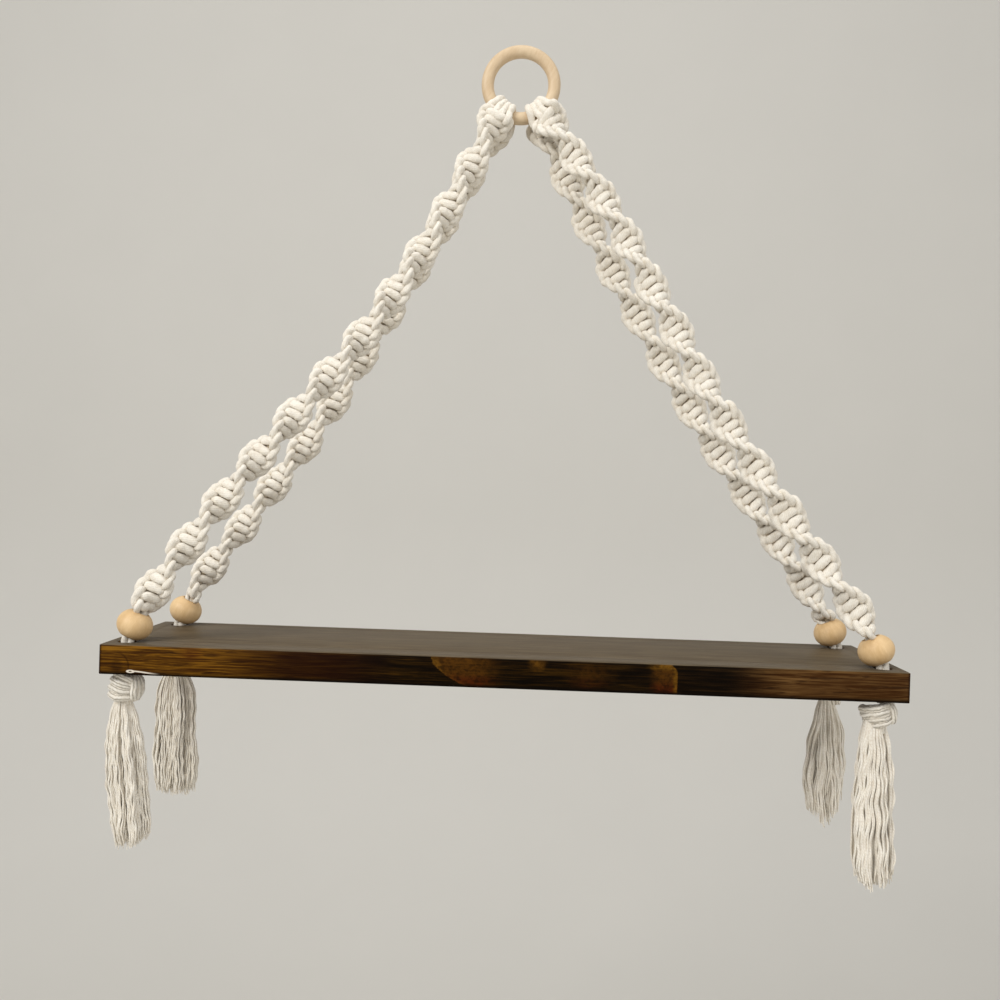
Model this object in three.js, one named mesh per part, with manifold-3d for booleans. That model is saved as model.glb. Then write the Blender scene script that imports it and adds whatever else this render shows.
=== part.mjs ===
// A hanging rope shelf: a stained board slung on four knotted cotton legs below one wooden ring.
// Millimetres. +Z is up, +X runs along the board and +Y points into the wall. The origin is the
// nail's seat: the highest point of the ring's opening, halfway through the thickness of its bar.
import * as THREE from "three";
import { mergeVertices } from "three/addons/utils/BufferGeometryUtils.js";
import Module from "manifold-3d";

// Ring, hung on a nail
const ringCentrelineRadius = 23.75;
const ringBarDiameter = 9.5;
const ringToWall = 17.5;
const ringCentreToBoard = 397;

// Board, a piece of one-by lumber
const boardLength = 508;
const boardDepth = 114;
const boardThickness = 19;
const boardEdgeChamfer = 1;
const cordHoleDiameter = 11.4;
const frontHoleFromEnd = 12;
const rearHoleFromEnd = 16;
const frontHoleFromFront = 15;
const rearHoleFromBack = 14;

// Cord, and the clearances between pieces
const cordDiameter = 4.6;
const pieceGap = 0.3;
const turningGap = 0.35;
const overrun = 40;

// Cords folded over the ring's lower bar, four to a side, counted by angle from the ring's lowest point
const cordsPerSide = 4;
const bightStartAngle = 13;
const bightEndAngle = 56;

// Swing of everything below the ring, on a round seat about the cords' bearing line
const swingSeatRadius = 12;

// Legs: half-knot sennits, which turn as they are tied
const legTopBeyondBights = 3.55;
const legTopForward = 9.2;
const legTopBackward = 7;
const legTopDrop = 8.5;
const sennitWidth = 20.4;
const sennitThickness = 11;
const knotsPerHalfTurn = 5.75;
const grooveShare = 0.84;
const lastKnotShare = 0.62;
const sennitRoundness = 0.75;
const sennitSides = 8;
const legSag = 12;
const sagPlaceShares = [0.2, 0.4, 0.6, 0.8];

// Beads, threaded on the legs' four cords
const beadDiameter = 23;
const beadLength = 20;
const beadTilt = 25;
const beadAboveBoard = 1.5;
const sennitAboveBead = 0.6;
const straightAboveBead = 9;

// The four cords where they run together through a bead and the board
const bundleDiameter = 9.8;
const bundleBendRadius = 8;
const bundleLobeShare = 0.12;

// Overhand knots under the board
const knotWidth = 22;
const knotHeight = 19.5;
const knotStrandDiameter = 7;
const knotTurnSpacing = 7.5;
const knotTurnTilt = 15;

// Tassels, the legs' combed-out ends
const tasselHeadRadius = 6;
const tasselNeckRadius = 8;
const tasselNeckDrop = 8;
const frontTasselWidth = 28;
const frontTasselDepth = 26;
const rearTasselWidth = 36;
const rearTasselDepth = 25;
const frontLeftTasselDrop = 115;
const frontRightTasselDrop = 122;
const rearLeftTasselDrop = 108;
const rearRightTasselDrop = 112;
const tasselHeadAngles = [20, 55, 90, 120];
const tasselSkirtShares = [0, 0.12, 0.3, 0.6, 0.85, 1];
const tasselFlutes = 8;
const fluteDepthShare = 0.08;
const raggedEnd = 5;
const raggedTurn = 5;

// Places that follow from the sizes above
const ringInnerRadius = ringCentrelineRadius - ringBarDiameter / 2;
const ringCentreZ = -ringInnerRadius;
const boardTopZ = ringCentreZ - ringCentreToBoard;
const boardBottomZ = boardTopZ - boardThickness;
const boardBackY = ringToWall;
const boardFrontY = boardBackY - boardDepth;
const bightMiddleAngle = radians((bightStartAngle + bightEndAngle) / 2);
const swingAxisZ = ringCentreZ - ringCentrelineRadius * Math.cos(bightMiddleAngle);
const bightRadius = ringBarDiameter / 2 + pieceGap + cordDiameter / 2;
const legTopX = ringCentrelineRadius * Math.sin(bightMiddleAngle) + legTopBeyondBights;

// One row for each leg: its corner, its knots, the angle at which it leaves the ring, how much of the
// sag it has at each of the sag's places, and how far its tassel hangs below the board.
const legs = [
  { name: "front_left", side: -1, front: true, knots: 66, startAngle: 115,
    sagShares: [0.7, 1.04, 0.62, 0], tasselDrop: frontLeftTasselDrop },
  { name: "front_right", side: 1, front: true, knots: 66, startAngle: 78,
    sagShares: [0, 0.18, 0.42, 0.25], tasselDrop: frontRightTasselDrop },
  { name: "rear_left", side: -1, front: false, knots: 62, startAngle: 133,
    sagShares: [0.42, 0.62, 0.8, 0.38], tasselDrop: rearLeftTasselDrop },
  { name: "rear_right", side: 1, front: false, knots: 62, startAngle: 84,
    sagShares: [0.7, 1, 0.92, 0.33], tasselDrop: rearRightTasselDrop },
];

const finishes = {
  paleWood: new THREE.MeshStandardMaterial({ color: 0xe3c197, roughness: 0.55, metalness: 0 }),
  stainedBoard: new THREE.MeshStandardMaterial({ color: 0x4a3220, roughness: 0.45, metalness: 0 }),
  cotton: new THREE.MeshStandardMaterial({ color: 0xe6e0d2, roughness: 0.95, metalness: 0 }),
};

const wasm = await Module();
wasm.setup();

function radians(degrees) {
  return THREE.MathUtils.degToRad(degrees);
}

// A closed geometry as a solid that can be joined and cut.
function solidOf(geometry) {
  const bare = new THREE.BufferGeometry();
  bare.setAttribute("position", geometry.getAttribute("position"));
  bare.setIndex(geometry.getIndex());
  const merged = mergeVertices(bare);
  return new wasm.Manifold(new wasm.Mesh({
    numProp: 3,
    vertProperties: new Float32Array(merged.getAttribute("position").array),
    triVerts: new Uint32Array(merged.getIndex().array),
  }));
}

// A solid's faces as a flat-shaded geometry.
function geometryOf(solid) {
  const mesh = solid.getMesh();
  const geometry = new THREE.BufferGeometry();
  const positions = new Float32Array(mesh.vertProperties);
  geometry.setAttribute("position", new THREE.BufferAttribute(positions, mesh.numProp));
  geometry.setIndex(new THREE.BufferAttribute(new Uint32Array(mesh.triVerts), 1));
  const faceted = geometry.toNonIndexed();
  faceted.computeVertexNormals();
  return faceted;
}

function pieceMesh(name, geometry, finish) {
  const mesh = new THREE.Mesh(geometry, finish);
  mesh.name = name;
  return mesh;
}

// A closed skin through rings of points that turn anticlockwise as seen from the last ring's end.
function loft(rings) {
  const sides = rings[0].length;
  const points = rings.flat();
  const middleOf = (ring) => ring.reduce((sum, p) => sum.add(p), new THREE.Vector3()).divideScalar(sides);
  const firstCap = points.length;
  const lastCap = firstCap + 1;
  const lastRing = (rings.length - 1) * sides;
  points.push(middleOf(rings[0]), middleOf(rings[rings.length - 1]));
  const faces = [];
  for (let side = 0; side < sides; side += 1) {
    const next = (side + 1) % sides;
    faces.push(firstCap, next, side);
    for (let start = 0; start < lastRing; start += sides) {
      faces.push(start + side, start + next, start + sides + next);
      faces.push(start + side, start + sides + next, start + sides + side);
    }
    faces.push(lastCap, lastRing + side, lastRing + next);
  }
  const geometry = new THREE.BufferGeometry().setFromPoints(points);
  geometry.setIndex(faces);
  const faceted = geometry.toNonIndexed();
  faceted.computeVertexNormals();
  return faceted;
}

// The two directions across a path, the first as near to the reference as it can be.
function acrossPath(tangent, reference) {
  const second = new THREE.Vector3().crossVectors(tangent, reference).normalize();
  const first = new THREE.Vector3().crossVectors(second, tangent).normalize();
  return { first, second };
}

// One ring of points about a centre. radiiAt(angle) gives the reach along the two directions.
function ringOfPoints(centre, directions, sides, radiiAt) {
  return Array.from({ length: sides }, (_, i) => {
    const angle = (2 * Math.PI * i) / sides;
    const { along, across } = radiiAt(angle);
    return centre.clone()
      .addScaledVector(directions.first, along)
      .addScaledVector(directions.second, across);
  });
}

function roundSection(radius) {
  return (angle) => ({ along: radius * Math.cos(angle), across: radius * Math.sin(angle) });
}

// A round cord along a curve, as a closed skin.
function cordAlong(curve, reference, steps, sides) {
  const rings = Array.from({ length: steps + 1 }, (_, i) => {
    const directions = acrossPath(curve.getTangentAt(i / steps), reference);
    return ringOfPoints(curve.getPointAt(i / steps), directions, sides, roundSection(cordDiameter / 2));
  });
  return loft(rings);
}

// Ring

function makeRing() {
  const barSides = 10;
  const ringSides = 32;
  const torus = new THREE.TorusGeometry(ringCentrelineRadius, ringBarDiameter / 2, barSides, ringSides);
  torus.rotateX(Math.PI / 2);
  torus.translate(0, 0, ringCentreZ);
  return pieceMesh("ring", torus, finishes.paleWood);
}

// Four cords folded side by side over the lower bar on one side of the ring. Their ends stop at the
// round seat on which the legs swing.
function makeBights(side, name) {
  const cords = Array.from({ length: cordsPerSide }, (_, i) => {
    const spread = (bightEndAngle - bightStartAngle) / cordsPerSide;
    return solidOf(foldedCord(side, radians(bightStartAngle + spread * (i + 0.5))));
  });
  const bundle = cords.reduce((joined, cord) => joined.add(cord));
  return pieceMesh(name, geometryOf(bundle.subtract(outsideSwingSeat())), finishes.cotton);
}

// One cord from its front end, over the bar's inner side, to its rear end.
function foldedCord(side, angle) {
  const outward = new THREE.Vector3(side * Math.sin(angle), 0, -Math.cos(angle));
  const alongBar = new THREE.Vector3(Math.cos(angle), 0, side * Math.sin(angle));
  const barCentre = new THREE.Vector3(0, 0, ringCentreZ).addScaledVector(outward, ringCentrelineRadius);
  const endZ = swingAxisZ - swingSeatRadius;
  const archSteps = 6;
  const arch = Array.from({ length: archSteps + 1 }, (_, i) => {
    const turn = (Math.PI * i) / archSteps;
    const point = barCentre.clone().addScaledVector(outward, -bightRadius * Math.sin(turn));
    return point.setY(-bightRadius * Math.cos(turn));
  });
  const frontEnd = new THREE.Vector3(barCentre.x, -bightRadius, endZ);
  const rearEnd = new THREE.Vector3(barCentre.x, bightRadius, endZ);
  const curve = new THREE.CatmullRomCurve3([frontEnd, ...arch, rearEnd], false, "centripetal");
  return cordAlong(curve, alongBar, 9, 6);
}

// A round bar along the swing axis.
function swingSeat(radius) {
  const seat = new THREE.CylinderGeometry(radius, radius, 2 * (legTopX + overrun), 48);
  seat.rotateZ(Math.PI / 2);
  seat.translate(0, 0, swingAxisZ);
  return solidOf(seat);
}

// The space below the swing axis that belongs to the legs.
function outsideSwingSeat() {
  const space = new THREE.BoxGeometry(2 * legTopX + overrun, 2 * overrun, overrun);
  space.translate(0, 0, swingAxisZ - overrun / 2);
  return solidOf(space).subtract(swingSeat(swingSeatRadius - pieceGap));
}

// Legs

function rowOf(leg) {
  const holeX = boardLength / 2 - (leg.front ? frontHoleFromEnd : rearHoleFromEnd);
  const holeY = leg.front ? boardFrontY + frontHoleFromFront : boardBackY - rearHoleFromBack;
  const topY = leg.front ? -legTopForward : legTopBackward;
  return {
    hole: new THREE.Vector3(leg.side * holeX, holeY, boardTopZ),
    top: new THREE.Vector3(leg.side * legTopX, topY, swingAxisZ - legTopDrop),
  };
}

// Where a leg's cords turn from the slant of the bead to the board's hole, and the slant's direction.
function slantOf(leg) {
  const { hole, top } = rowOf(leg);
  const tilt = radians(beadTilt);
  const turnHeight = bundleBendRadius * Math.tan(tilt / 2);
  const towardsRing = top.clone().sub(hole).setZ(0).normalize();
  const axis = towardsRing.clone().multiplyScalar(Math.sin(tilt)).setZ(Math.cos(tilt));
  const turn = hole.clone().setZ(boardTopZ + turnHeight);
  const reach = Math.hypot((beadDiameter / 2) * Math.sin(tilt), (beadLength / 2) * Math.cos(tilt));
  const beadCentreHeight = beadAboveBoard + reach;
  const beadDistance = (beadCentreHeight - turnHeight) / Math.cos(tilt);
  return { axis, turn, towardsRing, beadDistance };
}

function alongSlant(slant, distance) {
  return slant.turn.clone().addScaledVector(slant.axis, distance);
}

// Half the length of a bead's bore, where the bead's round side meets it.
function beadBoreReach() {
  const share = beadBoreDiameter() / beadDiameter;
  return (beadLength / 2) * Math.sqrt(1 - share * share);
}

function beadBoreDiameter() {
  return bundleDiameter + 2 * turningGap;
}

// A leg's centreline, from the ring to its bead, and the level direction square to its plane.
function legRoute(leg) {
  const { top } = rowOf(leg);
  const slant = slantOf(leg);
  const footDistance = slant.beadDistance + beadBoreReach() + sennitAboveBead;
  const foot = alongSlant(slant, footDistance);
  const straight = alongSlant(slant, footDistance + straightAboveBead);
  const chord = foot.clone().sub(top);
  const level = new THREE.Vector3().crossVectors(chord, new THREE.Vector3(0, 0, 1)).normalize();
  const sagWay = new THREE.Vector3().crossVectors(level, chord).normalize();
  sagWay.multiplyScalar(-Math.sign(sagWay.z));
  const middle = sagPlaceShares.map((share, i) =>
    top.clone().addScaledVector(chord, share).addScaledVector(sagWay, legSag * leg.sagShares[i]));
  const curve = new THREE.CatmullRomCurve3([top, ...middle, straight, foot], false, "centripetal");
  return { curve, level };
}

// A sennit's section: a band with rounded edges.
function bandSection(widthShare, turn) {
  const soften = (value) => Math.sign(value) * Math.pow(Math.abs(value), sennitRoundness);
  return (angle) => {
    const wide = (sennitWidth / 2) * widthShare * soften(Math.cos(angle));
    const thick = (sennitThickness / 2) * widthShare * soften(Math.sin(angle));
    return {
      along: wide * Math.cos(turn) - thick * Math.sin(turn),
      across: wide * Math.sin(turn) + thick * Math.cos(turn),
    };
  };
}

// Half knots tied one way only, so the band turns a little with each. A knot is a rib between grooves.
function makeSennit(leg) {
  const { curve, level } = legRoute(leg);
  const stations = 2 * leg.knots;
  const turnPerStation = Math.PI / knotsPerHalfTurn / 2;
  const rings = Array.from({ length: stations + 1 }, (_, i) => {
    const place = i / stations;
    const isRib = i % 2 === 1;
    const share = i === stations ? lastKnotShare : isRib ? 1 : grooveShare;
    const directions = acrossPath(curve.getTangentAt(place), level);
    const turn = radians(leg.startAngle) - turnPerStation * i;
    return ringOfPoints(curve.getPointAt(place), directions, sennitSides, bandSection(share, turn));
  });
  const sennit = solidOf(loft(rings)).subtract(swingSeat(swingSeatRadius));
  return pieceMesh(`sennit_${leg.name}`, geometryOf(sennit), finishes.cotton);
}

// A wooden bead, a little shorter than it is wide, drilled along its axis.
function makeBead(leg) {
  const boreRadius = beadBoreDiameter() / 2;
  const start = Math.asin(boreRadius / (beadDiameter / 2));
  const arcSteps = 7;
  const profile = Array.from({ length: arcSteps + 1 }, (_, i) => {
    const angle = Math.PI - start - ((Math.PI - 2 * start) * i) / arcSteps;
    return new THREE.Vector2((beadDiameter / 2) * Math.sin(angle), (beadLength / 2) * Math.cos(angle));
  });
  profile.push(profile[0].clone());
  const geometry = new THREE.LatheGeometry(profile, 18);
  const bead = pieceMesh(`bead_${leg.name}`, geometry, finishes.paleWood);
  const slant = slantOf(leg);
  bead.quaternion.setFromUnitVectors(new THREE.Vector3(0, 1, 0), slant.axis);
  bead.position.copy(alongSlant(slant, slant.beadDistance));
  return bead;
}

// Four cords squeezed together: a round section with four shallow lobes.
function lobedSection(angle) {
  const radius = (bundleDiameter / 2) * (1 - (bundleLobeShare * (1 - Math.cos(cordsPerSide * angle))) / 2);
  return { along: radius * Math.cos(angle), across: radius * Math.sin(angle) };
}

// The four cords from the last knot through the bead, round a bend and down through the board.
function makeBundle(leg) {
  const slant = slantOf(leg);
  const { hole } = rowOf(leg);
  const tilt = radians(beadTilt);
  const bendSteps = 3;
  const bendCentre = hole.clone().addScaledVector(slant.towardsRing, bundleBendRadius);
  const bend = Array.from({ length: bendSteps + 1 }, (_, i) => {
    const angle = tilt * (1 - i / bendSteps);
    const centre = bendCentre.clone()
      .addScaledVector(slant.towardsRing, -bundleBendRadius * Math.cos(angle));
    centre.z += bundleBendRadius * Math.sin(angle);
    const down = slant.towardsRing.clone().multiplyScalar(-Math.sin(angle)).setZ(-Math.cos(angle));
    return { centre, down };
  });
  const top = alongSlant(slant, slant.beadDistance + beadBoreReach() + sennitAboveBead - pieceGap);
  const bottom = hole.clone().setZ(boardBottomZ);
  const places = [
    { centre: top, down: bend[0].down },
    ...bend,
    { centre: bottom, down: bend[bendSteps].down },
  ];
  const level = new THREE.Vector3().crossVectors(slant.towardsRing, new THREE.Vector3(0, 0, 1));
  const rings = places.map(({ centre, down }) =>
    ringOfPoints(centre, acrossPath(down, level), 3 * cordsPerSide, lobedSection));
  return pieceMesh(`leg_cords_${leg.name}`, loft(rings), finishes.cotton);
}

// Board

function makeBoard() {
  const outline = new THREE.Shape();
  outline.moveTo(-boardLength / 2, boardFrontY);
  outline.lineTo(boardLength / 2, boardFrontY);
  outline.lineTo(boardLength / 2, boardBackY);
  outline.lineTo(-boardLength / 2, boardBackY);
  for (const leg of legs) {
    const { hole } = rowOf(leg);
    const edge = new THREE.Path();
    edge.absarc(hole.x, hole.y, cordHoleDiameter / 2, 0, 2 * Math.PI, true);
    outline.holes.push(edge);
  }
  const geometry = new THREE.ExtrudeGeometry(outline, {
    depth: boardThickness - 2 * boardEdgeChamfer,
    bevelThickness: boardEdgeChamfer,
    bevelSize: boardEdgeChamfer,
    bevelOffset: -boardEdgeChamfer,
    bevelSegments: 1,
    curveSegments: 7,
  });
  geometry.translate(0, 0, boardBottomZ + boardEdgeChamfer);
  return pieceMesh("shelf_board", geometry, finishes.stainedBoard);
}

// Knots and tassels below the board

function tasselPivot(leg) {
  const { hole } = rowOf(leg);
  return hole.clone().setZ(boardBottomZ - pieceGap - knotHeight);
}

// An overhand knot: a round heart with two tilted turns of cord round it, hollowed for the tassel's head.
function makeKnot(leg) {
  const pivot = tasselPivot(leg);
  const centre = pivot.clone().setZ(pivot.z + knotHeight / 2);
  const heartWidth = knotWidth - knotStrandDiameter;
  const heart = new THREE.SphereGeometry(heartWidth / 2, 8, 6);
  heart.scale(1, 1, knotHeight / heartWidth);
  const turns = [-1, 1].map((way) => {
    const turnRadius = (knotWidth - knotStrandDiameter) / 2;
    const turn = new THREE.TorusGeometry(turnRadius, knotStrandDiameter / 2, 6, 12);
    turn.rotateY(way * radians(knotTurnTilt));
    return turn.translate(0, 0, way * knotTurnSpacing / 2);
  });
  const socket = new THREE.SphereGeometry(tasselHeadRadius + turningGap, 12, 8);
  socket.translate(0, 0, -knotHeight / 2);
  const tied = turns.reduce((joined, turn) => joined.add(solidOf(turn)), solidOf(heart));
  const slab = new THREE.BoxGeometry(2 * knotWidth, 2 * knotWidth, knotHeight);
  const knot = tied.intersect(solidOf(slab)).subtract(solidOf(socket));
  const mesh = pieceMesh(`knot_${leg.name}`, geometryOf(knot), finishes.cotton);
  mesh.position.copy(centre);
  return mesh;
}

// A combed-out end: a round head in the knot's hollow, a neck, and a fluted skirt with a ragged hem.
function makeTassel(leg) {
  const pivot = tasselPivot(leg);
  const length = leg.tasselDrop - pieceGap - knotHeight;
  const halfWidth = (leg.front ? frontTasselWidth : rearTasselWidth) / 2;
  const halfDepth = (leg.front ? frontTasselDepth : rearTasselDepth) / 2;
  const sides = 2 * tasselFlutes;
  const down = new THREE.Vector3(0, 0, -1);
  const directions = acrossPath(down, new THREE.Vector3(1, 0, 0));
  const head = tasselHeadAngles.map(radians).map((angle) => ({
    drop: -tasselHeadRadius * Math.cos(angle),
    reach: [tasselHeadRadius * Math.sin(angle), tasselHeadRadius * Math.sin(angle)],
    flute: 0,
  }));
  const skirt = tasselSkirtShares.map((share) => {
    const flare = Math.sin((Math.PI / 2) * Math.sqrt(share));
    return {
      drop: THREE.MathUtils.lerp(tasselNeckDrop, length, share),
      reach: [halfWidth, halfDepth].map((half) => THREE.MathUtils.lerp(tasselNeckRadius, half, flare)),
      flute: fluteDepthShare * flare,
    };
  });
  const rings = [...head, ...skirt].map(({ drop, reach, flute }, row, all) => {
    const isHem = row === all.length - 1;
    const centre = new THREE.Vector3(0, 0, -drop);
    const ring = ringOfPoints(centre, directions, sides, (angle) => {
      const fluted = 1 - flute * (1 - Math.cos(tasselFlutes * angle));
      return { along: reach[0] * fluted * Math.cos(angle), across: reach[1] * fluted * Math.sin(angle) };
    });
    ring.forEach((point, i) => {
      const share = (1 + Math.cos(raggedTurn * i)) / 2;
      point.z += isHem ? raggedEnd * share : 0;
    });
    return ring;
  });
  const mesh = pieceMesh(`tassel_${leg.name}`, loft(rings), finishes.cotton);
  mesh.position.copy(pivot);
  return mesh;
}

const hanger = new THREE.Group();
hanger.name = "hanging_rope_shelf";
hanger.add(makeRing(), makeBights(-1, "cord_bights_left"), makeBights(1, "cord_bights_right"));
hanger.add(makeBoard());
for (const leg of legs) {
  hanger.add(makeSennit(leg), makeBead(leg), makeBundle(leg), makeKnot(leg), makeTassel(leg));
}

export default hanger;
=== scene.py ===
"""Looks of a hanging rope shelf: knotted cords, pale wood, a stained board, combed-out tassels.

Routes are in millimetres, in the frame of the CAD part, and become metres in a mesh.
"""

import logging
import math
from collections.abc import Callable
from dataclasses import dataclass
from enum import Enum
from types import SimpleNamespace

import bmesh
import bpy
import numpy as np
from mathutils import Matrix, Vector


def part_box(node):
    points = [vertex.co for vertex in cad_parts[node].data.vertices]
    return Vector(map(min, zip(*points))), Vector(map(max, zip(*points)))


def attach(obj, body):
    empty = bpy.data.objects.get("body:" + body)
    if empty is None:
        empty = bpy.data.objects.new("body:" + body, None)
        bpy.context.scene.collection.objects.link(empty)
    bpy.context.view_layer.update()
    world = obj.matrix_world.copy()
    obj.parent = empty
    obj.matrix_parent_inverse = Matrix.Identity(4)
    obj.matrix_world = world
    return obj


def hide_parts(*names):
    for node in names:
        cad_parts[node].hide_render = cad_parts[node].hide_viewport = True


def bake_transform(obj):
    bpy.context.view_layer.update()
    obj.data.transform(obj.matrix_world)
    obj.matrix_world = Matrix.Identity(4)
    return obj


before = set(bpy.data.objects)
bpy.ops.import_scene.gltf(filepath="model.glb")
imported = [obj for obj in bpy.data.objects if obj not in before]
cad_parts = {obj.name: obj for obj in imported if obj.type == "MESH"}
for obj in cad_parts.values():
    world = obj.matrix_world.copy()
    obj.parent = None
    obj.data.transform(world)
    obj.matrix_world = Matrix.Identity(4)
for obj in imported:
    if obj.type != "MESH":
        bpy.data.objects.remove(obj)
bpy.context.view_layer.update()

MM = 0.001
SWING_AXIS_Z = -38.573
LINE_STEP = 0.5
CURVE_SAMPLES = 12
GOLDEN_ANGLE = 2.39996
BEAD_RADIUS = 11.5
BEAD_HALF_LENGTH = 10.0
BORE_RADIUS = 5.25
log = logging.getLogger("hanging_shelf")

Points = np.ndarray
VECTOR = "FLOAT_VECTOR"


def linear(red: float, green: float, blue: float) -> tuple[float, float, float, float]:
    """A screen colour, 0 to 255, as the linear colour that a shader takes.

    Args:
        red, green, blue: the colour's parts on the screen.

    Returns:
        The linear colour with full alpha.
    """
    def part(value: float) -> float:
        """One part of the colour, made linear."""
        share = value / 255
        return share / 12.92 if share <= 0.04045 else ((share + 0.055) / 1.055) ** 2.4

    return part(red), part(green), part(blue), 1.0


def arithmetic(operation: str, swapped: bool = False) -> Callable[..., "Value"]:
    """A method of Value that works out one step of arithmetic in a node of its own.

    Args:
        operation: the math node's operation.
        swapped: True if the method's own value comes last.

    Returns:
        The method.
    """
    def method(value: "Value", *others: object) -> "Value":
        """The step's result."""
        return value.graph.math(operation, *((*others, value) if swapped else (value, *others)))

    return method


class Value:
    """What a node gives, with operators that each add a node to its tree."""

    def __init__(self, graph: "Graph", socket: bpy.types.NodeSocket) -> None:
        """Holds one output of a node in the graph."""
        self.graph, self.socket = graph, socket

    __add__ = __radd__ = arithmetic("ADD")
    __sub__, __rsub__ = arithmetic("SUBTRACT"), arithmetic("SUBTRACT", swapped=True)
    __mul__ = __rmul__ = arithmetic("MULTIPLY")
    __truediv__, __pow__ = arithmetic("DIVIDE"), arithmetic("POWER")
    __abs__, root = arithmetic("ABSOLUTE"), arithmetic("SQRT")
    most, least = arithmetic("MAXIMUM"), arithmetic("MINIMUM")

    def smooth(self, low: float, high: float) -> "Value":
        """0 below low and 1 above high, with a smooth step between; high may be the lesser.

        Args:
            low: where the step starts.
            high: where it ends.

        Returns:
            The step's height, 0 to 1.
        """
        inputs = {"Value": self, "From Min": low, "From Max": high}
        settings = {"interpolation_type": "SMOOTHSTEP"}
        return self.graph.get("ShaderNodeMapRange", inputs, "Result", **settings)


class Graph:
    """A node tree with short calls, each of which makes a node and sets or links its inputs."""

    def __init__(self, tree: bpy.types.NodeTree) -> None:
        """Works on the given tree."""
        self.tree = tree

    def node(self, kind: str, inputs: dict | None = None, **settings: object) -> bpy.types.Node:
        """Adds one node.

        Args:
            kind: the node's type.
            inputs: socket name or index to a plain value or to what another node gives.
            settings: the node's own properties.

        Returns:
            The node.
        """
        made = self.tree.nodes.new(kind)
        for name, value in settings.items():
            setattr(made, name, value)
        for key, value in (inputs or {}).items():
            if isinstance(value, Value):
                self.tree.links.new(value.socket, made.inputs[key])
            else:
                made.inputs[key].default_value = value
        return made

    def get(
        self, kind: str, inputs: dict | None = None, output: str | int = 0, **settings: object
    ) -> Value:
        """What one output of a new node gives; the other words are node()'s."""
        return Value(self, self.node(kind, inputs, **settings).outputs[output])

    def math(self, operation: str, *values: object) -> Value:
        """The result of one arithmetic node on one or two values."""
        return self.get("ShaderNodeMath", dict(enumerate(values)), operation=operation)

    def parts(self, vector: Value) -> list[Value]:
        """A vector's three parts."""
        split = self.node("ShaderNodeSeparateXYZ", {0: vector})
        return [Value(self, part) for part in split.outputs]

    def joined(self, *parts: object) -> Value:
        """The vector of three parts."""
        return self.get("ShaderNodeCombineXYZ", dict(enumerate(parts)))

    def scaled(self, vector: Value, scale: float | tuple) -> Value:
        """A vector times a number, or with each of its parts multiplied by its own."""
        factors = scale if isinstance(scale, tuple) else (scale,) * 3
        return self.get("ShaderNodeVectorMath", {0: vector, 1: factors}, operation="MULTIPLY")

    def noise(
        self, place: Value, scale: float | tuple = 1.0, detail: float = 2.0, roughness: float = 0.5
    ) -> Value:
        """Noise from 0 to 1, with that many grains to the unit along all or each of the axes.

        Args:
            place: where the noise is read.
            scale: the grains to the unit.
            detail: how many finer noises are laid over it.
            roughness: how strong the finer ones are.

        Returns:
            The noise.
        """
        place = place if scale == 1.0 else self.scaled(place, scale)
        inputs = {"Vector": place, "Scale": 1.0, "Detail": detail, "Roughness": roughness}
        return self.get("ShaderNodeTexNoise", inputs)


class ShaderGraph(Graph):
    """The node tree of one material."""

    def __init__(self, name: str) -> None:
        """Starts an empty material of that name.

        Args:
            name: the material's name.
        """
        self.material = bpy.data.materials.new(name)
        self.material.use_nodes = True
        self.material.node_tree.nodes.clear()
        super().__init__(self.material.node_tree)

    def attribute(self, name: str, output: str = "Vector") -> Value:
        """An attribute of the piece."""
        return self.get("ShaderNodeAttribute", output=output, attribute_name=name)

    def place(self) -> Value:
        """Object coordinates."""
        return self.get("ShaderNodeTexCoord", output="Object")

    def mix(self, share: Value, first: object, second: object) -> Value:
        """A colour between two colours."""
        return self.get("ShaderNodeMix", {0: share, 6: first, 7: second}, 2, data_type="RGBA")

    def bump(self, height: Value, distance: float) -> Value:
        """A normal that follows a height from 0 to 1 over that distance in metres."""
        return self.get("ShaderNodeBump", {"Height": height, "Distance": distance, "Strength": 1.0})

    def surface(self, **inputs: object) -> bpy.types.Material:
        """Ends the material in a Principled shader.

        Args:
            inputs: the shader's sockets, with underscores for spaces.

        Returns:
            The finished material.
        """
        named = {key.replace("_", " "): value for key, value in inputs.items()}
        shader = self.get("ShaderNodeBsdfPrincipled", named)
        self.node("ShaderNodeOutputMaterial", {"Surface": shader})
        return self.material


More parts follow.
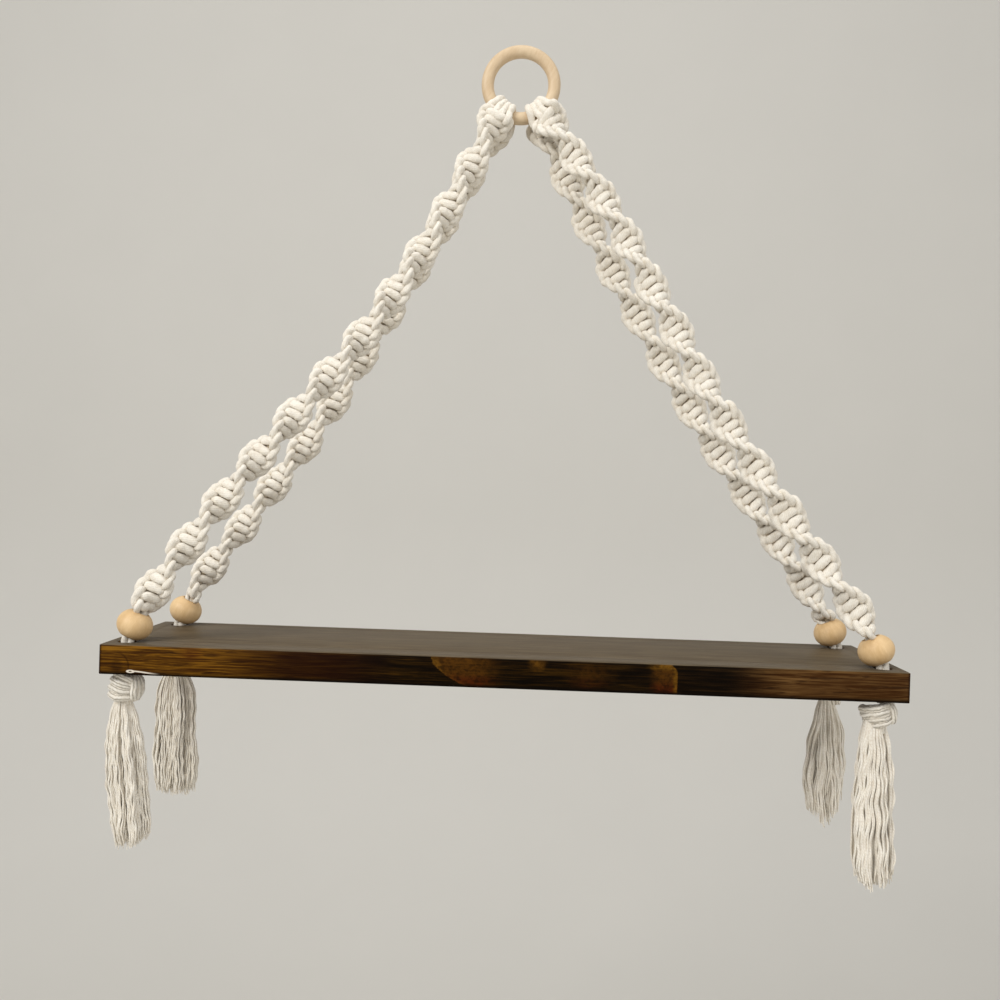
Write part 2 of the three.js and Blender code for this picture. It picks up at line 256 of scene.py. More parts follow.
@dataclass(frozen=True)
class Cotton:
    """Soft cotton: yarns that run round the cord in a slow lay, with fuzz, and painted shade deep
    inside the knotted bands and between combed yarns.

    It reads three attributes of the piece. Strand has the cosine and sine of the place round the
    cord, and the length along it in metres. The attribute sunk is 1 deep inside a knotted band and
    0 at its surface, and sets how much painted shade darkens the colour there. Combed is 1 where
    the yarns have come apart and lie side by side.
    """

    name: str
    light: tuple = linear(240, 234, 222)
    dark: tuple = linear(217, 206, 187)
    # Painted shade for points deep inside a knotted band.
    crease: tuple = linear(176, 159, 133)
    # Painted shade between the combed yarns in the knots.
    between: tuple = linear(132, 122, 104)
    yarns: int = 13
    lay: float = 0.030
    loose_yarns: int = 6
    relief: float = 0.0004

    def material(self) -> bpy.types.Material:
        """The finish as a material.

        Returns:
            The material.
        """
        graph = ShaderGraph(self.name)
        place = graph.place()
        combed, inner_shade = graph.attribute("combed", "Fac"), graph.attribute("inner_shade", "Fac")
        cosine, sine, along = graph.parts(graph.attribute("strand"))
        around = graph.math("ARCTAN2", sine, cosine)
        wander = graph.noise(place, 420)
        lay = along * (2 * math.pi * self.yarns / self.lay)
        twisted = graph.math("COSINE", around * self.yarns + lay + wander * 5.0) * 0.5 + 0.5
        loose = graph.math("COSINE", around * self.loose_yarns + wander * 4.0) * 0.5 + 0.5
        yarn = twisted * (1.0 - combed) + loose * combed
        fuzz, fluff = (graph.noise(place, grains, 3, 0.65) for grains in (2400, 800))
        blotch = graph.noise(place, 160, 3, 0.6)
        tone = yarn * 0.15 + fuzz * 0.45 + fluff * 0.7 + blotch * 0.6 - 0.48
        colour = graph.mix(tone.smooth(0.12, 0.72), self.dark, self.light)
        # Painted shade in the spaces between the combed yarns in the knots.
        gap_shade = combed * loose.smooth(0.4, 0.0) * (blotch.smooth(0.35, 0.6) * 0.5 + 0.25)
        colour = graph.mix(gap_shade, colour, self.between)
        height = yarn * (combed * 0.6 + 0.25) + fuzz * 0.35 + fluff * 0.65
        # Painted shade darkens the colour deep inside a knotted band.
        return graph.surface(
            Base_Color=graph.mix(inner_shade, colour, self.crease), Roughness=0.92, Specular_IOR_Level=0.2,
            Sheen_Weight=0.25, Sheen_Roughness=0.6, Normal=graph.bump(height, self.relief),
        )


@dataclass(frozen=True)
class PaleWood:
    """Sanded pale wood, by the piece's grain attribute, whose first part is along the grain."""

    name: str
    light: tuple
    dark: tuple

    def material(self) -> bpy.types.Material:
        """The finish as a material.

        Returns:
            The material.
        """
        graph = ShaderGraph(self.name)
        grain = graph.attribute("grain")
        bend = graph.noise(grain, (45, 70, 70), 1) * 3.0
        x, y, z = graph.parts(graph.scaled(grain, (14, 420, 420)))
        bands = graph.noise(graph.joined(x, y + bend, z))
        pores = graph.noise(grain, (150, 2600, 2600), 2, 0.6)
        tone = bands * 0.38 + pores * 0.32 + graph.noise(grain, (60, 90, 90)) * 0.65 - 0.17
        return graph.surface(
            Base_Color=graph.mix(tone.smooth(0.22, 0.78), self.dark, self.light),
            Roughness=pores * 0.16 + 0.42, Specular_IOR_Level=0.4,
            Normal=graph.bump(bands * 0.4 + pores * 0.6, 0.00012),
        )


@dataclass(frozen=True)
class StainedBoard:
    """Dark brown stain under a thin satin varnish, with streaky grain and stain that took unevenly.

    It reads Object coordinates. The places below are in millimetres: along the board from its
    middle, and up from its underside.
    """

    name: str
    golden: tuple = linear(132, 89, 20)
    dull: tuple = linear(108, 78, 42)
    brown: tuple = linear(54, 28, 4)
    line: tuple = linear(34, 15, 3)
    maroon: tuple = linear(30, 10, 2)
    black: tuple = linear(8, 4, 1)
    amber: tuple = linear(116, 80, 20)
    bared: tuple = linear(80, 48, 9)
    red: tuple = linear(78, 31, 6)
    # The top's two colours hold a painted reflection of the pale surroundings over its grain.
    top_light: tuple = linear(110, 98, 78)
    top_dark: tuple = linear(76, 64, 48)
    # A painted highlight: the glint of a varnish drip low on the front edge.
    scuff: tuple = linear(226, 216, 200)
    height: float = 19.0

    def material(self) -> bpy.types.Material:
        """The finish as a material: layers of colour, each laid over those before it.

        Returns:
            The material.
        """
        low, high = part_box("shelf_board")
        graph = ShaderGraph(self.name)
        place = graph.place()
        x, y, z = graph.parts(place)
        along, up = x * (1 / MM), (z - low.z) * (1 / MM)
        front = y.smooth(low.y + 0.003, low.y + 0.0005)
        top = z.smooth(high.z - 0.0006, high.z - 0.0002)
        ends = abs(x).smooth(high.x - 0.0022, high.x - 0.0005)
        streaks, bands, lines = self.grain(graph, place)
        streak = streaks * 0.8 + bands * 0.7 - 0.25
        middle = along.smooth(-186, -128) * along.smooth(185, 138)
        shadow = (middle * (streak * -0.4 + 1.14)).least(1.0)
        dark_knot, red_knot = self.knots(along, up)
        bare, rim = self.missed(graph, place, along, up, streak)
        layers = [
            (streak.smooth(0.34, 0.72), graph.mix(along.smooth(40, 170), self.golden, self.dull)),
            (graph.noise(place, (12, 40, 70)).smooth(0.42, 0.66) * 0.5, self.brown),
            (lines.smooth(0.54, 0.66) * 0.7, self.line),
            (dark_knot * front * 0.5, self.line),
            (red_knot * front * 0.28, self.red),
            # The stain took darkest over the middle of the front edge.
            (shadow * front, graph.mix(along.smooth(-125, -55), self.maroon, self.black)),
            # Places there that it missed: redder inside and lower down, amber at their rims.
            (bare * front, graph.mix(up.smooth(2, 11), self.red, self.bared)),
            (rim * front, self.amber),
            # The front darkens to near black over its bottom 3 mm, the end grain holds more stain,
            # and the underside is plain.
            (up.smooth(3.0, 0.8) * front * 0.9, self.black),
            (up.smooth(0.5, 0.1) * (1.0 - front) * 0.6, self.brown),
            (ends * 0.85, self.line),
            # The top is greyer than the edge: the streaks are its grain, and the grey is a painted
            # reflection of the pale surroundings.
            (top * 0.94, graph.mix(streak.smooth(0.3, 0.75), self.top_dark, self.top_light)),
            # A painted highlight: the glint of a varnish drip low on the front edge.
            (self.worn(along, up) * front * 0.95, self.scuff),
        ]
        colour = self.brown
        for share, paint in layers:
            colour = graph.mix(share, colour, paint)
        return graph.surface(
            Base_Color=colour, Roughness=streaks * 0.2 + 0.34, Specular_IOR_Level=0.04,
            Normal=graph.bump(streaks * 0.7 + bands * 0.3, 0.00014),
        )

    @staticmethod
    def grain(graph: ShaderGraph, place: Value) -> list[Value]:
        """Fine streaks, broad bands and thin dark lines along the board, swaying together.

        Args:
            graph: the material's tree.
            place: Object coordinates.

        Returns:
            The three noises, each from 0 to 1.
        """
        sway = graph.noise(place, (9, 26, 26)) * 5.0
        made = []
        for length, width in ((42, 1500), (20, 430), (50, 640)):
            x, y, z = graph.parts(graph.scaled(place, (length, width, width)))
            bent = sway * (width / 1500)
            made.append(graph.noise(graph.joined(x, y + bent, z + bent), 1.0, 3, 0.6))
        return made

    def knots(self, along: Value, up: Value) -> tuple[Value, Value]:
        """Two knots near the left end: a dark one with a grain line beside it, and a red one.

        Args:
            along, up: the place on the front edge, in millimetres.

        Returns:
            How strongly each of the two shows.
        """
        dark = self.reach(along, up, (-242.5, 5.5), (4.2, 4.6))
        arc = abs(dark - 1.8).smooth(0.22, 0.05) * along.smooth(-244, -239)
        red = self.reach(along, up, (-195, 15), (8, 4.5))
        return dark.smooth(1.2, 0.5).most(arc), red.smooth(1.3, 0.3)

    def worn(self, along: Value, up: Value) -> Value:
        """A painted highlight low on the front edge, the glint of a varnish drip: a small loop with
        a tail that thins to the right.

        Args:
            along, up: the place on the edge, in millimetres.

        Returns:
            How worn each place is.
        """
        loop = self.reach(along, up, (-233.6, 2.4), (2.6, 0.95))
        from_left = along + 237.0
        off = abs(up - (from_left.smooth(4, 22) * -1.3 + 2.6))
        tail = off.smooth(0.6, 0.25) * from_left.smooth(3, 5) * from_left.smooth(23, 12)
        return abs(loop - 0.75).smooth(0.45, 0.2).most(tail)

    def missed(
        self, graph: ShaderGraph, place: Value, along: Value, up: Value, streak: Value
    ) -> tuple[Value, Value]:
        """Where the stain missed the front edge.

        Args:
            graph: the material's tree.
            place: Object coordinates.
            along, up: the place on the edge, in millimetres.
            streak: the grain, from 0 to 1.

        Returns:
            How bare each place is, and how much of it is bright rim.
        """
        ragged = (graph.noise(place, (260, 260, 420), 3, 0.7) - 0.5) * 5.0
        x = along + ragged
        # A curved patch: its left side bellies out towards the bottom right.
        side = x + 43.2 - (1.0 - up * (1 / self.height)) ** 2.0 * 24.0
        curved = side.smooth(-0.5, 0.8) * x.smooth(4, -17)
        curved_rim = side.smooth(-0.3, 0.6) * side.smooth(6, 0.8) * (up.smooth(6, 18) + 0.25) * 0.7
        # A patch that ends square on the right, with a rounded upper corner.
        wall = 110.8 + ragged * 0.15 - (along + up.smooth(13, 19) ** 2.0 * 3.5)
        square = wall.smooth(-0.3, 0.5) * x.smooth(92, 101)
        upper = up.smooth(14, 17) * x.smooth(90, 102)
        square_rim = wall.smooth(-0.2, 0.5) * wall.smooth(3.5, 0.8).most(upper)
        # Two faint places between them.
        small = self.reach(x, up, (23.5, 17.5), (6.0, 6.0)).smooth(1.25, 0.3)
        faint = self.reach(x, up, (56, 11), (17, 11)).smooth(1.2, 0.1) * 0.45
        bare = curved.most(square).most(small).most(faint)
        rim = curved_rim.most(square_rim).most(small * 0.35)
        patchy = graph.noise(place, (240, 240, 320), 3, 0.7)
        mottled = streak * 0.5 + patchy.smooth(0.35, 0.65) * 0.6
        return bare * (mottled + 0.1) * 0.82, rim * mottled * 0.85

    @staticmethod
    def reach(x: Value, up: Value, middle: tuple[float, float], half: tuple[float, float]) -> Value:
        """The distance from an oval spot's middle: 1 on its outline."""
        across, above = (x - middle[0]) * (1 / half[0]), (up - middle[1]) * (1 / half[1])
        return (across * across + above * above).root()


@dataclass(frozen=True)
class Paper:
    """The matt pale surface of the floor and backdrop."""

    name: str
    colour: tuple = linear(206, 203, 196)

    def material(self) -> bpy.types.Material:
        """The finish as a material.

        Returns:
            The material.
        """
        graph = ShaderGraph(self.name)
        pale = tuple(min(1.0, part * 1.04) for part in self.colour[:3]) + (1.0,)
        colour = graph.mix(graph.noise(graph.place(), 5, 3), self.colour, pale)
        return graph.surface(Base_Color=colour, Roughness=0.95, Specular_IOR_Level=0.1)


def travelled(points: Points) -> Points:
    """How far along a line each of its points lies."""
    steps = np.linalg.norm(np.diff(points[:, :3], axis=0), axis=1)
    return np.concatenate([[0], np.cumsum(steps)])


def read_at(places: Points, known: Points, values: Points) -> Points:
    """Rows of values, which are known at some places, read at others."""
    return np.stack([np.interp(places, known, column) for column in values.T], 1)


def smoothed(points: Points, spacing: float) -> Points:
    """A smooth curve through points, as evenly spaced points.

    Args:
        points: the points that the curve passes, in order. Columns after the third go along.
        spacing: the distance between the points that come back.

    Returns:
        Points on a centripetal Catmull-Rom curve, from the first point to the last.
    """
    ends = np.vstack([2 * points[0] - points[1], points, 2 * points[-1] - points[-2]])
    p0, p1, p2, p3 = ends[:-3], ends[1:-2], ends[2:-1], ends[3:]

    def interval(first: Points, second: Points) -> Points:
        """The parameter's step from each first point to its second."""
        return np.sqrt(np.linalg.norm((second - first)[:, :3], axis=1))[:, None, None]

    t1 = interval(p0, p1)
    t2 = t1 + interval(p1, p2)
    t3 = t2 + interval(p2, p3)
    t = t1 + (t2 - t1) * np.linspace(0, 1, CURVE_SAMPLES, endpoint=False)[None, :, None]
    p0, p1, p2, p3 = (p[:, None, :] for p in (p0, p1, p2, p3))
    a1 = (t1 - t) / t1 * p0 + t / t1 * p1
    a2 = (t2 - t) / (t2 - t1) * p1 + (t - t1) / (t2 - t1) * p2
    a3 = (t3 - t) / (t3 - t2) * p2 + (t - t2) / (t3 - t2) * p3
    b1 = (t2 - t) / t2 * a1 + t / t2 * a2
    b2 = (t3 - t) / (t3 - t1) * a2 + (t - t1) / (t3 - t1) * a3
    fine = ((t2 - t) / (t2 - t1) * b1 + (t - t1) / (t2 - t1) * b2).reshape(-1, points.shape[1])
    fine = np.vstack([fine, points[-1]])
    length = travelled(fine)
    even = np.linspace(0, length[-1], max(2, round(length[-1] / spacing) + 1))
    return read_at(even, length, fine)


def unpressed(points: Points) -> Points:
    """Points with no pressed direction, themselves for an axis and full thickness after them."""
    return np.hstack([points, np.zeros_like(points), points, np.ones((len(points), 1))])


def turned(points: Points, angle: float | Points) -> Points:
    """Points turned about the Z axis by an angle, or each by its own.

    Args:
        points: the points.
        angle: the angle or angles, in radians.

    Returns:
        The turned points.
    """
    cosine, sine = np.cos(angle), np.sin(angle)
    x, y = points[:, 0], points[:, 1]
    return np.stack([x * cosine - y * sine, x * sine + y * cosine, points[:, 2]], 1)


@dataclass
class HalfKnot:
    """A half knot's working cord, tight round two fillers, as it repeats down a spiral sennit.

    The knot's own frame has X across the band, Y out of its front and Z down the leg. The cord goes
    from the left, over the front, under the other cord's loop on the right, and out. The next knot
    is the same, moved on by the pitch and turned by half a turn and the sennit's twist.
    """

    pitch: float = 6.5
    twist: float = -math.pi / 5.75
    half_width: float = 7.0
    half_depth: float = 3.4
    cord_contact: float = 3.0
    filler_contact: float = 3.3
    filler_offset: float = 1.75
    tension: float = 6.0
    stiffness: float = 2.0
    hardness: float = 20.0
    step: float = 0.006
    rounds: int = 1100
    points: int = 26
    reach: int = 3
    exit_point: float = 22.0
    exit_spread: float = 2.4
    exit_lift: float = 1.4
    fine_step: float = 0.1
    clearance: float = 1.5
    even_every: int = 20

    def loose(self) -> Points:
        """The cord's path before it is pulled tight, as listed: left side, front bar, right side.

        Returns:
            The cord's points through one knot.
        """
        shares = [
            (-0.98, -0.10, -0.50), (-0.98, -0.45, -0.25), (-0.85, -0.10, 0.32),
            (-0.55, 0.80, 0.23), (0.0, 1.0, 0.0), (0.55, 0.80, -0.23),
            (0.85, 0.05, -0.32), (1.05, -0.30, -0.22), (1.10, -0.10, 0.20),
        ]
        cell = np.array(shares) * (self.half_width, self.half_depth, self.pitch)
        flat = np.vstack([
            cell * (turn, turn, 1) + (0, 0, knot * self.pitch)
            for knot, turn in ((-1, -1), (0, 1), (1, -1), (2, 1))
        ])
        start, stop = len(cell), 2 * len(cell)
        before = smoothed(flat[:start + 1], self.fine_step)
        path = smoothed(flat[:stop + 1], self.fine_step)[len(before) - 1:]
        even = path[np.linspace(0, len(path) - 1, self.points, endpoint=False).astype(int)]
        return turned(even, self.angle(even))

    def angle(self, points: Points) -> Points:
        """How far the band has turned at each point."""
        return self.twist * points[:, 2] / self.pitch

    def moved_on(self, cord: Points, knots: int) -> Points:
        """The same cord that many knots further down."""
        return turned(cord, knots * (math.pi + self.twist)) + (0, 0, knots * self.pitch)

    def neighbours(self, cord: Points) -> Points:
        """The cord through the knots above and below this one."""
        return np.concatenate([self.moved_on(cord, k) for k in range(-self.reach, self.reach + 1)])

    def push(self, cord: Points, others: Points, met: Points) -> Points:
        """The push on each point of the cord from the points of others that lie too close to it.

        Args:
            cord: the cord's points.
            others: the points that may push them.
            met: True for the pairs of them that count.

        Returns:
            The push on each point.
        """
        apart = cord[:, None] - others[None]
        distance = np.linalg.norm(apart, axis=2) + 1e-9
        pressed = np.where((distance < self.cord_contact) & met, self.cord_contact - distance, 0)
        return (pressed[..., None] * apart / distance[..., None]).sum(1)

    def tightened(self) -> Points:
        """Pulls the knot tight.

        Returns:
            The cord's points through one knot, evenly spaced.
        """
        cord = self.loose()
        count, base = self.points, self.reach * self.points
        order = np.arange((2 * self.reach + 1) * count) - base
        for turn in range(self.rounds):
            chain = self.neighbours(cord)
            other = chain * (-1, -1, 1)
            before, after = chain[base - 1:base - 1 + count], chain[base + 1:base + 1 + count]
            ahead, behind = chain[base + 2:base + 2 + count], chain[base - 2:base - 2 + count]
            gap = np.linalg.norm(after - cord, axis=1).mean()
            force = self.tension * (before + after - 2 * cord) / gap
            force -= self.stiffness * (behind - 4 * before + 6 * cord - 4 * after + ahead) / gap**3
            between = np.abs(order[None] - np.arange(count)[:, None]) * gap
            far = between > self.clearance * self.cord_contact
            squeeze = self.push(cord, other, np.full(far.shape, True)) + self.push(cord, chain, far)
            force += self.hardness * squeeze * gap / self.cord_contact
            angle = self.angle(cord)
            filler = self.filler_offset * np.stack([np.cos(angle), np.sin(angle)], 1)
            for side in (1, -1):
                apart = cord[:, :2] - side * filler
                distance = np.linalg.norm(apart, axis=1, keepdims=True) + 1e-9
                pressed = np.clip(self.filler_contact - distance, 0, None)
                force[:, :2] += 2 * self.hardness * pressed * apart / distance
            cord = cord + self.step * force
            if (turn + 1) % self.even_every == 0:
                cord = self.evened(cord)
        return self.lifted(cord)

    def lifted(self, cord: Points) -> Points:
        """The cord with its way out of each loop raised, so that the loop stands up as a lobe.

        Args:
            cord: the tightened cord's points.

        Returns:
            The points, of which some have moved.
        """
        angle = self.angle(cord)
        flat = turned(cord, -angle)
        place = (np.arange(self.points) - self.exit_point) / self.exit_spread
        flat[:, 1] -= self.exit_lift * np.exp(-place**2)
        return turned(flat, angle)

    def evened(self, cord: Points) -> Points:
        """The same cord with its points evenly spaced again.

        Args:
            cord: the cord's points.

        Returns:
            As many points, all as far apart.
        """
        base = self.reach * self.points
        chain = self.neighbours(cord)[base:base + self.points + 1]
        length = travelled(chain)
        return read_at(np.arange(self.points) * length[-1] / self.points, length, chain)


class Corner(Enum):
    """The four corners of the board, by the names that the CAD nodes use."""

    FRONT_LEFT = "front_left"
    FRONT_RIGHT = "front_right"
    REAR_LEFT = "rear_left"
    REAR_RIGHT = "rear_right"

    @property
    def side(self) -> int:
        """-1 on the left and 1 on the right."""
        return 1 if "right" in self.value else -1

    @property
    def is_front(self) -> bool:
        """True at the board's front edge."""
        return "front" in self.value


def measured(node: str) -> tuple[Points, Points]:
    """A CAD node's middle and its half sizes, in millimetres."""
    low, high = (np.array(corner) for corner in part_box(node))
    return (low + high) / 2 / MM, (high - low) / 2 / MM


@dataclass
class Ring:
    """The turned wooden ring, sized from its CAD node."""

    grain_tilt: float = 62.0
    flattening: float = 0.02
    bar_steps: int = 36
    round_steps: int = 144

    def __post_init__(self) -> None:
        """Reads the ring's sizes, in millimetres."""
        centre, half = measured("ring")
        self.bar_radius, self.centre_z = half[1], centre[2]
        self.radius = half[0] - self.bar_radius

    def build(self, finish: bpy.types.Material) -> bpy.types.Object:
        """The ring as a smooth torus, a little flattened as a turned ring is.

        Args:
            finish: the ring's material.

        Returns:
            The ring.
        """
        angles = np.linspace(0, 2 * math.pi, self.bar_steps, endpoint=False)
        flat = 1 - self.flattening * np.cos(4 * angles)
        reach = self.radius + self.bar_radius * np.cos(angles) * flat
        depth = self.bar_radius * np.sin(angles) * flat
        rings = np.array([
            np.stack([reach * math.sin(turn), depth, self.centre_z - reach * math.cos(turn)], 1)
            for turn in np.linspace(0, 2 * math.pi, self.round_steps, endpoint=False)
        ])
        x, y, z = rings.reshape(-1, 3).T
        tilt = math.radians(self.grain_tilt)
        cosine, sine = math.cos(tilt), math.sin(tilt)
        grain = np.stack([x * cosine + z * sine, z * cosine - x * sine, y], 1)
        piece = skin("wooden_ring", rings, grain, finish)
        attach(piece, "ring")
        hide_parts("ring")
        return piece


def skin(name: str, rings: Points, grain: Points, finish: bpy.types.Material) -> bpy.types.Object:
    """A closed mesh through closed rings of points, of which the last joins the first.

    Args:
        name: the piece's name.
        rings: millimetre points, by ring and by place round the ring.
        grain: each point's place in the wood, stored in metres as the grain attribute.
        finish: the piece's material.

    Returns:
        The smooth-shaded object.
    """
    count, sides = rings.shape[:2]
    number = np.arange(count * sides).reshape(count, sides)
    below, after = np.roll(number, -1, axis=0), np.roll(number, -1, axis=1)
    corners = np.stack([number, after, np.roll(below, -1, axis=1), below], 2)
    mesh = bpy.data.meshes.new(name)
    mesh.from_pydata((rings.reshape(-1, 3) * MM).tolist(), [], corners.reshape(-1, 4).tolist())
    keep(mesh, "grain", grain * MM)
    work = bmesh.new()
    work.from_mesh(mesh)
    bmesh.ops.recalc_face_normals(work, faces=work.faces)
    work.to_mesh(mesh)
    work.free()
    mesh.shade_smooth()
    mesh.materials.append(finish)
    return linked(name, mesh)


def keep(mesh: bpy.types.Mesh, name: str, values: Points) -> None:
    """Stores a number or a vector for each of a mesh's points as an attribute.

    Args:
        mesh: the mesh.
        name: the attribute's name.
        values: a row for each point.
    """
    kind, key = ("FLOAT", "value") if values.ndim == 1 else (VECTOR, "vector")
    stored = mesh.attributes.new(name, kind, "POINT")
    stored.data.foreach_set(key, values.astype(np.float32).ravel())


def linked(name: str, data: bpy.types.ID) -> bpy.types.Object:
    """A new object of that mesh, lamp or camera in the scene.

    Args:
        name: the object's name.
        data: the mesh, lamp or camera.

    Returns:
        The object.
    """
    piece = bpy.data.objects.new(name, data)
    bpy.context.collection.objects.link(piece)
    return piece


def report(piece: bpy.types.Object) -> None:
    """Logs a finished piece and how fine it is."""
    log.info("%s: %d faces", piece.name, len(piece.data.polygons))


@dataclass
class Bead:
    """A wooden bead on a leg, placed on the leg's route and turned to its slant, in place of its
    CAD node.
    """

    corner: Corner
    axis: Points
    centre: Points
    mouth_round: float = 0.7
    slide: float = 1.0
    grain_apart: float = 40.0
    arc_steps: int = 22
    lip_steps: int = 4
    sides: int = 64

    def build(self, finish: bpy.types.Material) -> bpy.types.Object:
        """The bead as a turned profile round its bore.

        Args:
            finish: the bead's material.

        Returns:
            The bead.
        """
        start = math.asin((BORE_RADIUS + self.mouth_round) / BEAD_RADIUS)
        angles = np.linspace(start, math.pi - start, self.arc_steps)
        outside = np.stack([BEAD_RADIUS * np.sin(angles), BEAD_HALF_LENGTH * np.cos(angles)], 1)
        turns = np.linspace(0, math.pi / 2, self.lip_steps)[1:]
        lip = np.stack([
            BORE_RADIUS + self.mouth_round * (1 - np.sin(turns)),
            outside[0][1] - self.mouth_round * (1 - np.cos(turns)),
        ], 1)
        profile = np.vstack([lip[::-1], outside, lip * (1, -1)])
        spin = np.linspace(0, 2 * math.pi, self.sides, endpoint=False)
        radius, height = profile[:, :1], np.repeat(profile[:, 1:], self.sides, 1)
        local = np.stack([radius * np.cos(spin), radius * np.sin(spin), height], 2)
        away = np.cross(self.axis, (0.0, 1.0, 0.0))
        away /= np.linalg.norm(away)
        turn = np.array([away, np.cross(self.axis, away), self.axis])
        # Each bead is cut from a place of its own in the wood.
        grain = local.reshape(-1, 3)[:, [2, 0, 1]]
        grain = grain + (0, self.grain_apart * (list(Corner).index(self.corner) + 1), 0)
        rings = local @ turn + self.centre - self.axis * self.slide
        piece = skin(f"wooden_bead_{self.corner.value}", rings, grain, finish)
        node = f"bead_{self.corner.value}"
        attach(piece, node)
        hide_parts(node)
        return piece


